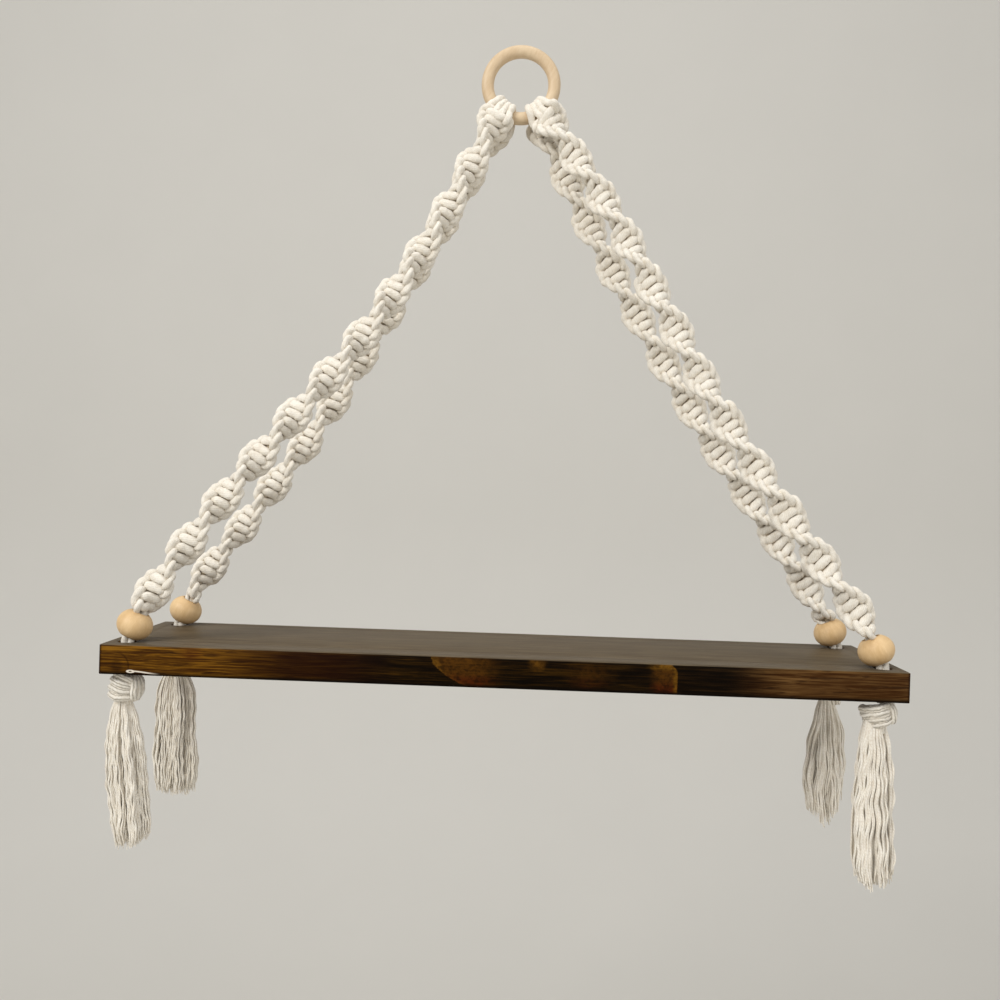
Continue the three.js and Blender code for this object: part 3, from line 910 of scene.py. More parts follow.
@dataclass
class Leg:
    """The route of one leg, from the ring through the bead and the board, and its strands' places.

    A leg has four strands: two working ones, which are knotted, round two fillers. Distances along
    the leg count from the CAD sennit's top, which lies in front of the ring's bar or behind it.
    Pairs of numbers are for a front and a rear leg.
    """

    corner: Corner
    knots: int
    start_angle: float
    sag_shares: tuple[float, float, float, float]
    out: float = 17.0
    top_y: tuple[float, float] = (-9.2, 7.0)
    top_drop: float = 8.5
    start_out: tuple[float, float] = (14.2, 15.7)
    start_y: tuple[float, float] = (-12.4, 8.0)
    start_rise: float = 5.6
    sag: float = 12.0
    bead_tilt: float = 25.0
    bend_radius: float = 8.0
    bead_above_board: float = 1.5
    sennit_above_bead: float = 0.6
    straight_above_bead: float = 9.0
    bundle_radius: float = 2.7
    widening: float = 1.15
    flattening: float = 0.80
    strand_flatness: float = 0.24
    bar_swell: float = 0.22
    hook_pinch: float = 0.17
    first_swell: float = 0.22
    first_rise: float = 3.0
    first_spread: float = 12.0
    bar_end: float = 5.0
    bar_fade: float = 2.0
    hook_place: float = 5.2
    hook_spread: float = 0.8
    axis_away: float = 30.0
    knots_above_top: int = 1
    points_below: int = 12

    def __post_init__(self) -> None:
        """Works out the route."""
        board_low, board_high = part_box("shelf_board")
        self.board_bottom, board_top = board_low.z / MM, board_high.z / MM
        self.hole = measured(f"knot_{self.corner.value}")[0]
        self.hole[2] = board_top
        side, row = self.corner.side, 0 if self.corner.is_front else 1
        self.top = np.array([side * self.out, self.top_y[row], SWING_AXIS_Z - self.top_drop])
        tilt = math.radians(self.bead_tilt)
        towards = (self.top - self.hole) * (1, 1, 0)
        towards /= np.linalg.norm(towards)
        self.axis = towards * math.sin(tilt) + np.array([0, 0, math.cos(tilt)])
        turn = self.hole + (0, 0, self.bend_radius * math.tan(tilt / 2))
        reach = math.hypot(BEAD_RADIUS * math.sin(tilt), BEAD_HALF_LENGTH * math.cos(tilt))
        rise = self.bead_above_board + reach - (turn[2] - board_top)
        bead_distance = rise / math.cos(tilt)
        bore = BEAD_HALF_LENGTH * math.sqrt(1 - (BORE_RADIUS / BEAD_RADIUS) ** 2)
        self.bead_centre = turn + self.axis * bead_distance
        foot = turn + self.axis * (bead_distance + bore + self.sennit_above_bead)
        chord = foot - self.top
        self.level = np.cross(chord, (0.0, 0.0, 1.0))
        self.level /= np.linalg.norm(self.level)
        sag_way = np.cross(self.level, chord)
        sag_way *= -np.sign(sag_way[2]) / np.linalg.norm(sag_way)
        middle = [
            self.top + chord * place + sag_way * self.sag * share
            for place, share in zip((0.2, 0.4, 0.6, 0.8), self.sag_shares)
        ]
        straight = foot + self.axis * self.straight_above_bead
        hung = smoothed(np.array([self.top, *middle, straight, foot]), LINE_STEP)
        self.knotted_length = LINE_STEP * (len(hung) - 1)
        self.pitch = self.knotted_length / self.knots
        # Above its top the sennit leans in towards the bights that it comes from.
        start = [side * self.start_out[row], self.start_y[row], self.top[2] + self.start_rise]
        upper = smoothed(np.array([start, self.top]), LINE_STEP)
        # Below it the strands pass through the bead, round the bend and straight down the hole.
        low = self.hole * (1, 1, 0) + (0, 0, self.board_bottom)
        lower = smoothed(np.array([
            foot, self.bead_centre, turn + self.axis * 3.0, turn + self.axis * 1.0 - (0, 0, 0.6),
            self.hole + (0, 0, -2.0), low + (0, 0, 6.0), low,
        ]), LINE_STEP)
        self.line = np.vstack([upper[:-1], hung, lower[1:]])
        self.distance = LINE_STEP * (np.arange(len(self.line)) - (len(upper) - 1))

    def place(self, distance: Points, across: Points, out: Points) -> Points:
        """Points beside the leg's centreline.

        Args:
            distance: how far along the leg each point is.
            across: how far each lies along the leg's level direction.
            out: how far each lies along the direction square to that.

        Returns:
            The points in the part's frame.
        """
        slope = np.gradient(self.line, axis=0)
        centre, tangent = (read_at(distance, self.distance, kept) for kept in (self.line, slope))
        tangent /= np.linalg.norm(tangent, axis=1, keepdims=True)
        second = np.cross(tangent, self.level)
        second /= np.linalg.norm(second, axis=1, keepdims=True)
        return centre + np.cross(second, tangent) * across[:, None] + second * out[:, None]

    def strands(self, knot: HalfKnot, cell: Points) -> tuple[list[Points], list[Points]]:
        """The four strands from above the first knot to the board's underside.

        Args:
            knot: the half knot that the sennit repeats.
            cell: its tightened cord.

        Returns:
            The two working strands and the two fillers. Each row has a point, the direction in
            which the strand is pressed flat there, whose square is by how much, the place beside
            it on the leg's axis, and how thick the strand is.
        """
        above = self.knots_above_top
        chain = np.concatenate([knot.moved_on(cell, k) for k in range(-above, self.knots)])
        height = np.linspace(-above - 0.4, self.knots - 0.8, 4 * self.knots) * knot.pitch
        offset = np.full(len(height), knot.filler_offset)
        core = np.stack([offset, np.zeros(len(height)), height], 1)
        core = turned(core, knot.angle(core))
        made = []
        for path, is_working in ((chain, True), (core, False)):
            for mirror in (1, -1):
                spin = knot.angle(path)
                flat = turned(path * (mirror, mirror, 1), -spin)
                spin += math.radians(self.start_angle) + knot.twist / 2
                along = (path[:, 2] / knot.pitch + 0.5) * self.pitch
                place = (along + self.first_rise) / self.first_spread
                swell = 1 + self.first_swell * np.exp(-place**2)
                strand = turned(flat * (self.widening, self.flattening, 1) * swell[:, None], spin)
                strand[:, 2] = along
                thick = self.thickness(np.abs(flat[:, 0])) if is_working else np.ones(len(along))
                kept = along < self.knotted_length - 0.5
                made.append((strand[kept], spin[kept], thick[kept]))
        slots = self.bundle_slots([strand[-1] for strand, _, _ in made])
        count = self.points_below
        below = np.linspace(self.knotted_length + 4.0, self.distance[-1], count)
        finished = []
        for (strand, spin, thick), slot in zip(made, slots):
            x, y, along = strand.T
            beside = self.place(along, x - np.sin(spin), y + np.cos(spin))
            x, y = self.bundle_radius * math.cos(slot), self.bundle_radius * math.sin(slot)
            whole = np.vstack([strand, np.stack([np.full(count, x), np.full(count, y), below], 1)])
            placed = self.place(whole[:, 2], whole[:, 0], whole[:, 1])
            pressed = np.zeros_like(placed)
            knotted = beside - placed[:len(strand)]
            pressed[:len(strand)] = knotted * math.sqrt(self.strand_flatness)
            none = np.zeros(len(whole))
            axis = self.place(whole[:, 2], none, none)
            # Above the sennit the axis is far off, so that nothing there gets painted shade.
            near = np.clip(whole[:, 2] / self.pitch, 0, 1)[:, None]
            axis += self.level * self.axis_away * (1 - near)
            thick = np.concatenate([thick, np.ones(count)])[:, None]
            finished.append(np.hstack([placed, pressed, axis, thick]))
        return finished[:2], finished[2:]

    def thickness(self, across: Points) -> Points:
        """How thick a working strand is: fuller across the band, pinched where the loops hook.

        Args:
            across: how far each point lies from the band's middle.

        Returns:
            The thickness of each point, of which 1 is the cord's own.
        """
        bar = np.clip((self.bar_end - across) / self.bar_fade, 0, 1)
        hook = np.exp(-((across - self.hook_place) / self.hook_spread) ** 2)
        return 1 + self.bar_swell * bar - self.hook_pinch * hook

    @staticmethod
    def bundle_slots(ends: list[Points]) -> list[float]:
        """The place of each strand in the bundle of four, in the order in which they come round."""
        ranks = np.argsort(np.argsort([math.atan2(end[1], end[0]) for end in ends]))
        return [-math.pi + math.pi / 4 + rank * math.pi / 2 for rank in ranks]


@dataclass
class OverhandKnot:
    """The knot under the board: the four strands make one turn round themselves and lock it.

    They come out of the board, go down over one side, round the back, across the front as a stack
    of four, and in under their own first stretch, and leave at the bottom. Angles are in degrees
    as seen from above, from the locking side round by the back.
    """

    corner: Corner
    slant: float
    lock_side: int = 1
    strand_rise: float = 4.1
    taper: float = 0.0
    shift: float = 0.0
    lock_radius: float = 9.3
    wrap_radius: float = 8.3
    core_radius: float = 2.7
    lock_step: float = 24.0
    narrowing: float = 0.06
    taper_height: float = 8.0

    def __post_init__(self) -> None:
        """Reads the knot's place from its CAD node."""
        self.centre, half = measured(f"knot_{self.corner.value}")
        self.centre[0] += self.shift
        self.half_height = half[2]

    def wrap(self, number: int, slot: float) -> Points:
        """One strand's way through the knot.

        Args:
            number: the strand's place in the stack, from 0 at the top to 3.
            slot: its angle in the bundle, in radians.

        Returns:
            Its points, from the board's underside to the knot's foot.
        """
        place = number - 1.5
        level = -place * self.strand_rise
        lock = place * self.lock_step
        wrap = self.wrap_radius * (1 - self.narrowing * abs(place))
        turns = [
            (self.lock_radius - 3.0, lock * 0.9 - 6, 6.4), (self.lock_radius - 0.6, lock - 3, 2.6),
            (self.lock_radius + 0.4, lock, -1.8), (self.lock_radius - 1.0, lock * 0.9 + 8, -5.6),
            (6.6, 55 + lock * 0.5, -5.8 + level * 0.15), (6.8, 100, -3.6 + level * 0.5),
            (wrap, 145, -1.2 + level * 0.85), (wrap, 185, level),
            (wrap + 0.3, 222, level + 0.5), (wrap + 0.3, 258, level + 0.4),
            (wrap - 0.4, 292, level * 0.92), (6.4, 322, level * 0.74 - 0.4),
            (4.4, 350, level * 0.5 - 1.6),
        ]
        slant = math.radians(self.slant)
        points = [self.core(slot, self.half_height * 0.95)]
        for reach, angle, height in turns:
            reach *= 1 + self.taper * height / self.taper_height
            x, y = reach * math.cos(math.radians(angle)), reach * math.sin(math.radians(angle))
            points.append((
                self.lock_side * (x * math.cos(slant) - height * math.sin(slant)), y,
                x * math.sin(slant) + height * math.cos(slant),
            ))
        points.append(self.core(slot, -self.half_height * 0.8))
        points.append(self.core(slot, -self.half_height - 2.5))
        return np.array(points) + self.centre

    def core(self, slot: float, height: float) -> tuple[float, float, float]:
        """A strand's place in the bundle at that height above the knot's middle."""
        return self.core_radius * math.cos(slot), self.core_radius * math.sin(slot), height


class GeometryGraph(Graph):
    """The tree of one Geometry Nodes group, with named inputs."""

    def __init__(self, name: str) -> None:
        """Starts a group with one geometry in and one out.

        Args:
            name: the group's name.
        """
        self.group = bpy.data.node_groups.new(name, "GeometryNodeTree")
        super().__init__(self.group)
        self.socket("Geometry", "Geometry")
        self.socket("Geometry", "Geometry", "OUTPUT")
        self.entry = self.node("NodeGroupInput")
        self.geometry = Value(self, self.entry.outputs[0])
        self.position = self.get("GeometryNodeInputPosition")

    def socket(self, name: str, kind: str, way: str = "INPUT") -> bpy.types.NodeTreeInterfaceItem:
        """Adds an input or output of the group."""
        return self.group.interface.new_socket(name, in_out=way, socket_type="NodeSocket" + kind)

    def sizes(self, **defaults: float) -> SimpleNamespace:
        """Adds an input for each size, whole numbers as such, and gives their values by name.

        Args:
            defaults: the inputs' names and what they are at first.

        Returns:
            The inputs' values.
        """
        for name, default in defaults.items():
            kind = "Int" if isinstance(default, int) else "Float"
            self.socket(name, kind).default_value = default
        return SimpleNamespace(**{name: Value(self, self.entry.outputs[name]) for name in defaults})

    def finish(self, geometry: Value) -> None:
        """Ends the tree: real geometry with its material.

        Args:
            geometry: what the group makes.
        """
        self.socket("material", "Material")
        smooth = self.get("GeometryNodeSetShadeSmooth", {0: geometry})
        real = self.get("GeometryNodeRealizeInstances", {0: smooth})
        material = Value(self, self.entry.outputs["material"])
        dressed = self.get("GeometryNodeSetMaterial", {"Geometry": real, "Material": material})
        self.node("NodeGroupOutput", {0: dressed})

    def stored(self, geometry: Value, name: str, value: Value, kind: str = "FLOAT") -> Value:
        """The geometry with a value kept on its points under a name."""
        inputs = {"Geometry": geometry, "Name": name, "Value": value}
        return self.get("GeometryNodeStoreNamedAttribute", inputs, data_type=kind, domain="POINT")

    def named(self, name: str, kind: str = "FLOAT") -> Value:
        """A value that stored() kept or that came with the geometry."""
        return self.get("GeometryNodeInputNamedAttribute", {"Name": name}, data_type=kind)

    def moved(self, geometry: Value, **where: Value) -> Value:
        """The geometry with its points at a Position or moved by an Offset."""
        return self.get("GeometryNodeSetPosition", {"Geometry": geometry, **where})

    def vector(self, operation: str, *values: object) -> Value:
        """The vector result of one vector node."""
        return self.get("ShaderNodeVectorMath", dict(enumerate(values)), operation=operation)

    def measure(self, operation: str, *values: object) -> Value:
        """The number that one vector node gives, such as a length."""
        inputs = dict(enumerate(values))
        return self.get("ShaderNodeVectorMath", inputs, "Value", operation=operation)

    def stretched(self, vector: Value, amount: Value) -> Value:
        """A vector times a number."""
        return self.get("ShaderNodeVectorMath", {0: vector, "Scale": amount}, operation="SCALE")

    def swept(self, curve: Value, radius: Value, sides: Value) -> Value:
        """A closed round skin along a curve, with the strand attribute that Cotton reads.

        Args:
            curve: the curve.
            radius: the skin's radius along it.
            sides: how many points go round it.

        Returns:
            The skin.
        """
        length = self.get("GeometryNodeSplineParameter", output="Length")
        curve = self.stored(curve, "along", length)
        circle = self.get("GeometryNodeCurvePrimitiveCircle", {"Resolution": sides, "Radius": 1.0})
        profile = self.stored(circle, "around", self.position, VECTOR)
        inputs = {"Curve": curve, "Profile Curve": profile, "Scale": radius, "Fill Caps": True}
        mesh = self.get("GeometryNodeCurveToMesh", inputs)
        cosine, sine, _ = self.parts(self.named("around", VECTOR))
        return self.stored(mesh, "strand", self.joined(cosine, sine, self.named("along")), VECTOR)


def cord_tree() -> GeometryGraph:
    """The group that sweeps one soft cord along a line of points.

    Three things come with the line: squeeze, how thick the cord is at each point, pressed, the
    direction in which it is flattened, and axis, the nearest place on its leg's middle line.

    Returns:
        The group, with the cord's sizes as inputs.
    """
    graph = GeometryGraph("swept_cord")
    size = graph.sizes(
        cord_radius=0.0026, ring_spacing=0.0010, sides=12, seed=1, fluff=0.0011, fluff_grain=430.0,
        unevenness=0.11, lump_length=0.007, wander=0.0016, wander_grain=95.0, stray=0.0010,
        stray_grain=190.0, band_half_width=0.0112, band_half_depth=0.0049,
    )
    line = graph.get("GeometryNodeMeshToCurve", {0: graph.geometry})
    inputs = {"Curve": line, "Length": size.ring_spacing}
    curve = graph.get("GeometryNodeResampleCurve", inputs, mode="LENGTH")
    squeeze, pressed = graph.named("squeeze"), graph.named("pressed", VECTOR)

    def drift(grain: Value, strand: object, reach: Value) -> Value:
        """A slow random offset over the place, the same for every strand or one for each.

        Args:
            grain: the grains to the metre.
            strand: the strand's number, or 0 for them all.
            reach: how far the offset can go.

        Returns:
            The offset.
        """
        inputs = {"Vector": graph.position, "Scale": grain, "W": strand, "Detail": 0.0}
        noise = graph.get("ShaderNodeTexNoise", inputs, "Color", noise_dimensions="4D")
        return graph.stretched(graph.vector("SUBTRACT", noise, (0.5, 0.5, 0.5)), reach)

    # Cords wander from their even course, except in the beads and holes, where there is no room.
    together = drift(size.wander_grain, 0.0, size.wander)
    alone = drift(size.stray_grain, size.seed + 7.3, size.stray)
    offset = graph.stretched(graph.vector("ADD", together, alone), squeeze.smooth(0.78, 0.84))
    curve = graph.stored(graph.moved(curve, Offset=offset), "centre", graph.position, VECTOR)
    length = graph.get("GeometryNodeSplineParameter", output="Length")
    inputs = {"W": length / size.lump_length + size.seed * 37.7, "Scale": 1.0, "Detail": 1.0}
    noise = graph.get("ShaderNodeTexNoise", inputs, noise_dimensions="1D")
    swell = (noise - 0.5) * 2.0 * size.unevenness + 1.0
    cord = graph.swept(curve, size.cord_radius * swell * squeeze, size.sides)
    out = graph.vector("SUBTRACT", graph.position, graph.named("centre", VECTOR))
    inwards = graph.stretched(pressed, graph.measure("DOT_PRODUCT", out, pressed) * -1.0)
    cord = graph.moved(cord, Offset=inwards)
    # How deep each point lies in the oval of the band, kept as the share of painted shade.
    beside = graph.vector("SUBTRACT", graph.position, graph.named("axis", VECTOR))
    flatness, reach = graph.measure("LENGTH", pressed), graph.measure("LENGTH", beside)
    depth = graph.measure("DOT_PRODUCT", beside, pressed) / (flatness + 0.001)
    across = (reach * reach - depth * depth) / (size.band_half_width * size.band_half_width)
    oval = (across + depth * depth / (size.band_half_depth * size.band_half_depth)).root()
    cord = graph.stored(cord, "inner_shade", oval.smooth(0.76, 0.36) * flatness.smooth(0.05, 0.3))
    # The fluff of the yarns.
    inputs = {"Vector": graph.position, "Scale": size.fluff_grain, "Detail": 1.0}
    lift = (graph.get("ShaderNodeTexNoise", inputs) - 0.5) * size.fluff
    graph.finish(graph.moved(cord, Offset=graph.stretched(graph.vector("NORMALIZE", out), lift)))
    return graph


def tassel_tree() -> GeometryGraph:
    """The group that hangs a tassel's wavy yarns below the point that carries it.

    Returns:
        The group, with the tassel's sizes as inputs.
    """
    graph = GeometryGraph("combed_tassel")
    size = graph.sizes(
        yarns=400, plies=15, steps=44, sides=5, seed=1, yarn_radius=0.0005, neck=0.005,
        length=0.095, half_width=0.014, half_depth=0.013, flare_rate=5.0, gathered=0.1,
        pointed=0.1, ragged=0.08, hem_slope=0.0, wave_length=0.017, wave_height=0.0011,
        lean=0.0, rise=0.002, shift=0.0, sway=0.0075, ply_share=0.24, core_share=0.075,
        frizz=0.0007, frizz_grain=120.0,
    )
    one = graph.get("GeometryNodeCurvePrimitiveLine", {"End": (0.0, 0.0, -1.0)})
    yarn = graph.get("GeometryNodeResampleCurve", {"Curve": one, "Count": size.steps})
    places = graph.get("GeometryNodePoints", {"Count": size.yarns})
    copies = graph.get("GeometryNodeInstanceOnPoints", {"Points": places, "Instance": yarn})
    curves = graph.get("GeometryNodeRealizeInstances", {0: copies})
    number = graph.math("FLOOR", (graph.get("GeometryNodeInputIndex") + 0.5) / size.steps)
    ply = graph.math("MODULO", number, size.plies)
    down = graph.get("GeometryNodeSplineParameter", output="Factor")

    def random(low: float, high: float, item: Value, draw: int) -> Value:
        """A random number for each item, the same in every run."""
        inputs = {2: low, 3: high, 7: item, 8: size.seed + draw}
        return graph.get("FunctionNodeRandomValue", inputs, 1, data_type="FLOAT")

    # Where the ply and, in it, the yarn lies in the round of the tassel, from 0 at its middle to 1.
    ply_turn, own_turn = ply * GOLDEN_ANGLE, random(0.0, 2 * math.pi, number, 0)
    ply_reach = ((ply + 0.6) / size.plies).root()
    # The first yarn of each ply stands for its full middle.
    is_core = graph.math("LESS_THAN", number, size.plies)
    is_yarn = 1.0 - is_core
    own_reach = random(0.1, 1.0, number, 1).root() * size.ply_share * is_yarn
    own_reach = own_reach * (1.0 - down ** 4.0 * 0.3)

    def disk(part: str) -> Value:
        """The yarn's place along one direction of the unit disk."""
        middle = graph.math(part, ply_turn) * ply_reach * 0.84
        return middle + graph.math(part, own_turn) * own_reach

    across, back = disk("COSINE"), disk("SINE")
    opened = 1.0 - (1.0 - down) ** size.flare_rate

    def reach(half: Value) -> Value:
        """The tassel's half size at this height."""
        return (size.neck + (half - size.neck) * opened) * (1.0 - size.gathered * down ** 4.0)

    # Each yarn keeps the wave that it had in the cord, in step with the others of its ply.
    ragged = random(-1.0, 0.0, number, 2) * size.ragged
    ragged_ply = random(-1.0, 0.0, ply, 8) * size.ragged * 0.6
    pointed = abs(across) ** 2.0 * size.pointed
    hem = 1.0 + ragged - pointed - across * size.hem_slope - is_core * 0.13 + ragged_ply
    drop = down * (size.length * hem)
    start = random(0.0, 2 * math.pi, ply, 3) + random(-1.4, 1.4, number, 4)
    turns = drop / size.wave_length * (2 * math.pi) * random(0.85, 1.2, ply, 5)
    growth = down.smooth(0.0, 0.25)
    height = size.wave_height * growth * random(0.6, 1.3, number, 6)

    def drift(item: Value, rate: object, reach: Value) -> list[Value]:
        """A slow drift of a yarn or a ply, along both directions.

        Args:
            item: the yarn's or the ply's number.
            rate: the turns to the metre.
            reach: how far it can go.

        Returns:
            The drift along each direction.
        """
        place = graph.joined(item * 7.31, drop * rate, size.seed * 3.3)
        inputs = {"Vector": place, "Scale": 1.0, "Detail": 1.0}
        noise = graph.parts(graph.get("ShaderNodeTexNoise", inputs, "Color"))
        return [(part - 0.5) * reach * growth for part in noise[:2]]

    own = drift(number + 0.5, size.frizz_grain, size.frizz * is_yarn)
    slow = drift(number + 300.5, 28.0, down * 0.004 * is_yarn)
    swayed = drift(ply + 700.5, 24.0, size.sway * down.smooth(0.0, 0.6))
    x, y = (
        reach(half) * place + height * graph.math(wave, start + turns)
        + own[axis] + slow[axis] + swayed[axis]
        for axis, half, place, wave in (
            (0, size.half_width, across, "SINE"), (1, size.half_depth, back, "COSINE")
        )
    )
    x = x + size.lean * down ** 1.3 + size.shift
    hung = graph.moved(curves, Position=graph.joined(x, y, drop * -1.0 + size.rise))
    thin = size.yarn_radius * (1.0 - down.smooth(0.9, 1.0) * 0.55) * random(0.75, 1.25, number, 7)
    full = size.core_share * reach(size.half_width) * (down.smooth(1.0, 0.5) + 0.1)
    graph.finish(graph.swept(hung, thin * is_yarn + full * is_core, size.sides))
    return graph


def grown(name: str, base: bpy.types.Mesh, graph: GeometryGraph, sizes: dict) -> bpy.types.Object:
    """Runs a Geometry Nodes group and keeps its result as a plain mesh.

    Args:
        name: the piece's name.
        base: the mesh that the group starts from.
        graph: the group.
        sizes: values by name, of which those that are inputs of the group are used.

    Returns:
        An object that holds only the result.
    """
    source = linked(name + "_source", base)
    modifier = source.modifiers.new("growth", "NODES")
    modifier.node_group = graph.group
    for socket in graph.group.interface.items_tree:
        if socket.name in sizes:
            modifier[socket.identifier] = sizes[socket.name]
    evaluated = source.evaluated_get(bpy.context.evaluated_depsgraph_get())
    mesh = bpy.data.meshes.new_from_object(evaluated)
    mesh.name = name
    bpy.data.objects.remove(source)
    bpy.data.meshes.remove(base)
    for extra in ("along", "around", "centre", "pressed", "squeeze", "axis"):
        if extra in mesh.attributes:
            mesh.attributes.remove(mesh.attributes[extra])
    return linked(name, mesh)


@dataclass
class Cords:
    """The four cords of one side, each folded over the ring and running down both of its legs."""

    side: int
    ring: Ring
    front: Leg
    rear: Leg
    front_knot: OverhandKnot
    rear_knot: OverhandKnot
    diameter: float = 5.2
    squash: float = 0.4
    near: float = 9.0
    bead_squeeze: float = 0.2
    knot_squeeze: float = 0.06
    start_angle: float = 13.0
    end_angle: float = 56.0
    turn_span: tuple[float, float] = (4.0, -11.0)
    bead_end: float = 13.0
    bead_fade: float = 5.0
    hole_top: float = 24.0
    hole_fade: float = 4.0
    knot_fade: float = 3.0
    spacing: float = 0.8
    count: int = 4

    def bight(self, number: int) -> Points:
        """A cord's fold over the ring's bar, from front to rear, counted from the middle.

        Args:
            number: the cord's number, from 0.

        Returns:
            The points of its centreline.
        """
        spread = (self.end_angle - self.start_angle) / self.count
        angle = math.radians(self.start_angle + spread * (number + 0.5))
        outwards = np.array([self.side * math.sin(angle), 0, -math.cos(angle)])
        centre = np.array([0, 0, self.ring.centre_z]) + outwards * self.ring.radius
        reach = self.ring.bar_radius + self.diameter / 2 - self.squash
        turns = np.radians([0, 22, 45, 68, 90, 112, 135, 158, 180])[:, None]
        return centre - outwards * reach * np.sin(turns) - np.array([0, reach, 0]) * np.cos(turns)

    def strand_order(self, strands: tuple[list[Points], list[Points]]) -> list[Points]:
        """A leg's strands from the ring's middle outwards, with the fillers between the others.

        Args:
            strands: the leg's working strands and its fillers.

        Returns:
            The four strands.
        """
        working, fillers = (
            sorted(pair, key=lambda strand: self.side * strand[0][0]) for pair in strands
        )
        return [working[0], fillers[0], fillers[1], working[1]]

    def tied(self, strand: Points, number: int, knot: OverhandKnot) -> Points:
        """A strand with its way through the overhand knot added."""
        slot = math.atan2(strand[-1][1] - knot.centre[1], strand[-1][0] - knot.centre[0])
        return np.vstack([strand, unpressed(knot.wrap(number, slot))])

    def build(
        self, knot: HalfKnot, cell: Points, tree: GeometryGraph, finish: bpy.types.Material
    ) -> None:
        """The four cords, each as one mesh from knot to knot.

        Args:
            knot: the half knot that the sennits repeat.
            cell: its tightened cord.
            tree: the group that sweeps a cord.
            finish: the cords' material.
        """
        ends = []
        for leg, overhand in ((self.front, self.front_knot), (self.rear, self.rear_knot)):
            strands = enumerate(self.strand_order(leg.strands(knot, cell)))
            ends.append([self.tied(strand, number, overhand) for number, strand in strands])
        side_name = "right" if self.side > 0 else "left"
        for number in range(self.count):
            up, down = ends[0][number][::-1], ends[1][number]
            route = smoothed(np.vstack([up, unpressed(self.bight(number)), down]), self.spacing)
            line, pressed, axis, thick = np.split(route, (3, 6, 9), axis=1)
            name = f"cord_{side_name}_{number + 1}"
            base = bpy.data.meshes.new(name + "_line")
            edges = [(i, i + 1) for i in range(len(line) - 1)]
            base.from_pydata((line * MM).tolist(), edges, [])
            keep(base, "squeeze", self.squeeze(line) * thick[:, 0])
            keep(base, "combed", self.combed(line))
            keep(base, "pressed", pressed)
            keep(base, "axis", axis * MM)
            seed = number + 5 * (self.side > 0)
            sizes = {"cord_radius": self.diameter / 2 * MM, "seed": seed, "material": finish}
            piece = grown(name, base, tree, sizes)
            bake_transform(piece)
            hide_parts(*self.nodes(side_name))
            length, faces = travelled(line)[-1], len(piece.data.polygons)
            log.info("%s: %.0f mm of cord, %d faces", name, length, faces)

    def squeeze(self, line: Points) -> Points:
        """How thick a cord is at each point: less in the beads, the holes and the knots.

        Args:
            line: the cord's points.

        Returns:
            The thickness of each, of which 1 is the cord's own.
        """
        left = np.ones(len(line))
        for leg in (self.front, self.rear):
            depth = line[:, 2] - leg.board_bottom
            along = (line - leg.bead_centre) @ leg.axis
            away = np.linalg.norm(line - leg.bead_centre - along[:, None] * leg.axis, axis=1)
            in_bead = np.clip((self.bead_end - np.abs(along)) / self.bead_fade, 0, 1)
            in_bead *= away < self.near
            beside = np.linalg.norm(line[:, :2] - leg.hole[:2], axis=1) < self.near
            in_hole = beside * np.clip((self.hole_top - depth) / self.hole_fade, 0, 1)
            in_hole *= np.clip((depth + self.hole_fade) / self.hole_fade, 0, 1)
            left -= self.bead_squeeze * np.clip(in_bead + in_hole, 0, 1)
            left -= self.knot_squeeze * np.clip(-depth / self.knot_fade, 0, 1) * beside
        return left

    def combed(self, line: Points) -> Points:
        """How far the yarns have come apart at each point: fully in the knots under the board."""
        return np.clip((self.front.board_bottom - line[:, 2]) / 2, 0, 1)

    def nodes(self, side_name: str) -> list[str]:
        """The CAD nodes that this side's cords stand for.

        Args:
            side_name: left or right.

        Returns:
            The nodes' names.
        """
        names = [f"cord_bights_{side_name}"]
        for row in ("front", "rear"):
            names += [f"{kind}_{row}_{side_name}" for kind in ("sennit", "leg_cords", "knot")]
        return names


@dataclass
class Tassel:
    """A leg's combed-out end, sized from its CAD node. Lengths are in millimetres.

    Its fields are the tassel group's inputs, apart from the corner, the share of the width, the
    margin inside the node and the length over which it bends, which is not used.
    """

    corner: Corner
    seed: int
    width_share: float
    neck: float
    flare_rate: float
    gathered: float
    pointed: float
    ragged: float
    lean: float
    shift: float
    hem_slope: float = 0.0
    yarns: int = 400
    yarn_radius: float = 0.53
    wave_length: float = 14.0
    wave_height: float = 0.36
    rise: float = 2.0
    sway: float = 7.5
    margin: float = 2.0
    bend: float = 14.0

    def build(self, tree: GeometryGraph, finish: bpy.types.Material) -> None:
        """The tassel's yarns as one mesh, hung below its knot.

        Args:
            tree: the group that hangs a tassel.
            finish: the yarns' material.
        """
        node = f"tassel_{self.corner.value}"
        low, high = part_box(node)
        knot_low, knot_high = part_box(f"knot_{self.corner.value}")
        pivot = (knot_low + knot_high) / 2
        pivot.z = knot_low.z
        margin = self.margin * MM
        sizes = dict(vars(self))
        lengths = "neck lean shift yarn_radius wave_length wave_height rise sway"
        sizes |= {name: sizes[name] * MM for name in lengths.split()}
        sizes |= {
            "length": pivot.z - low.z + self.rise * MM, "material": finish,
            "half_width": (high.x - low.x) / 2 * self.width_share - margin,
            "half_depth": (high.y - low.y) / 2 - margin,
        }
        base = bpy.data.meshes.new("empty")
        piece = grown(f"tassel_yarns_{self.corner.value}", base, tree, sizes)
        piece.data.transform(Matrix.Translation(pivot))
        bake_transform(piece)
        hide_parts(node)
        report(piece)


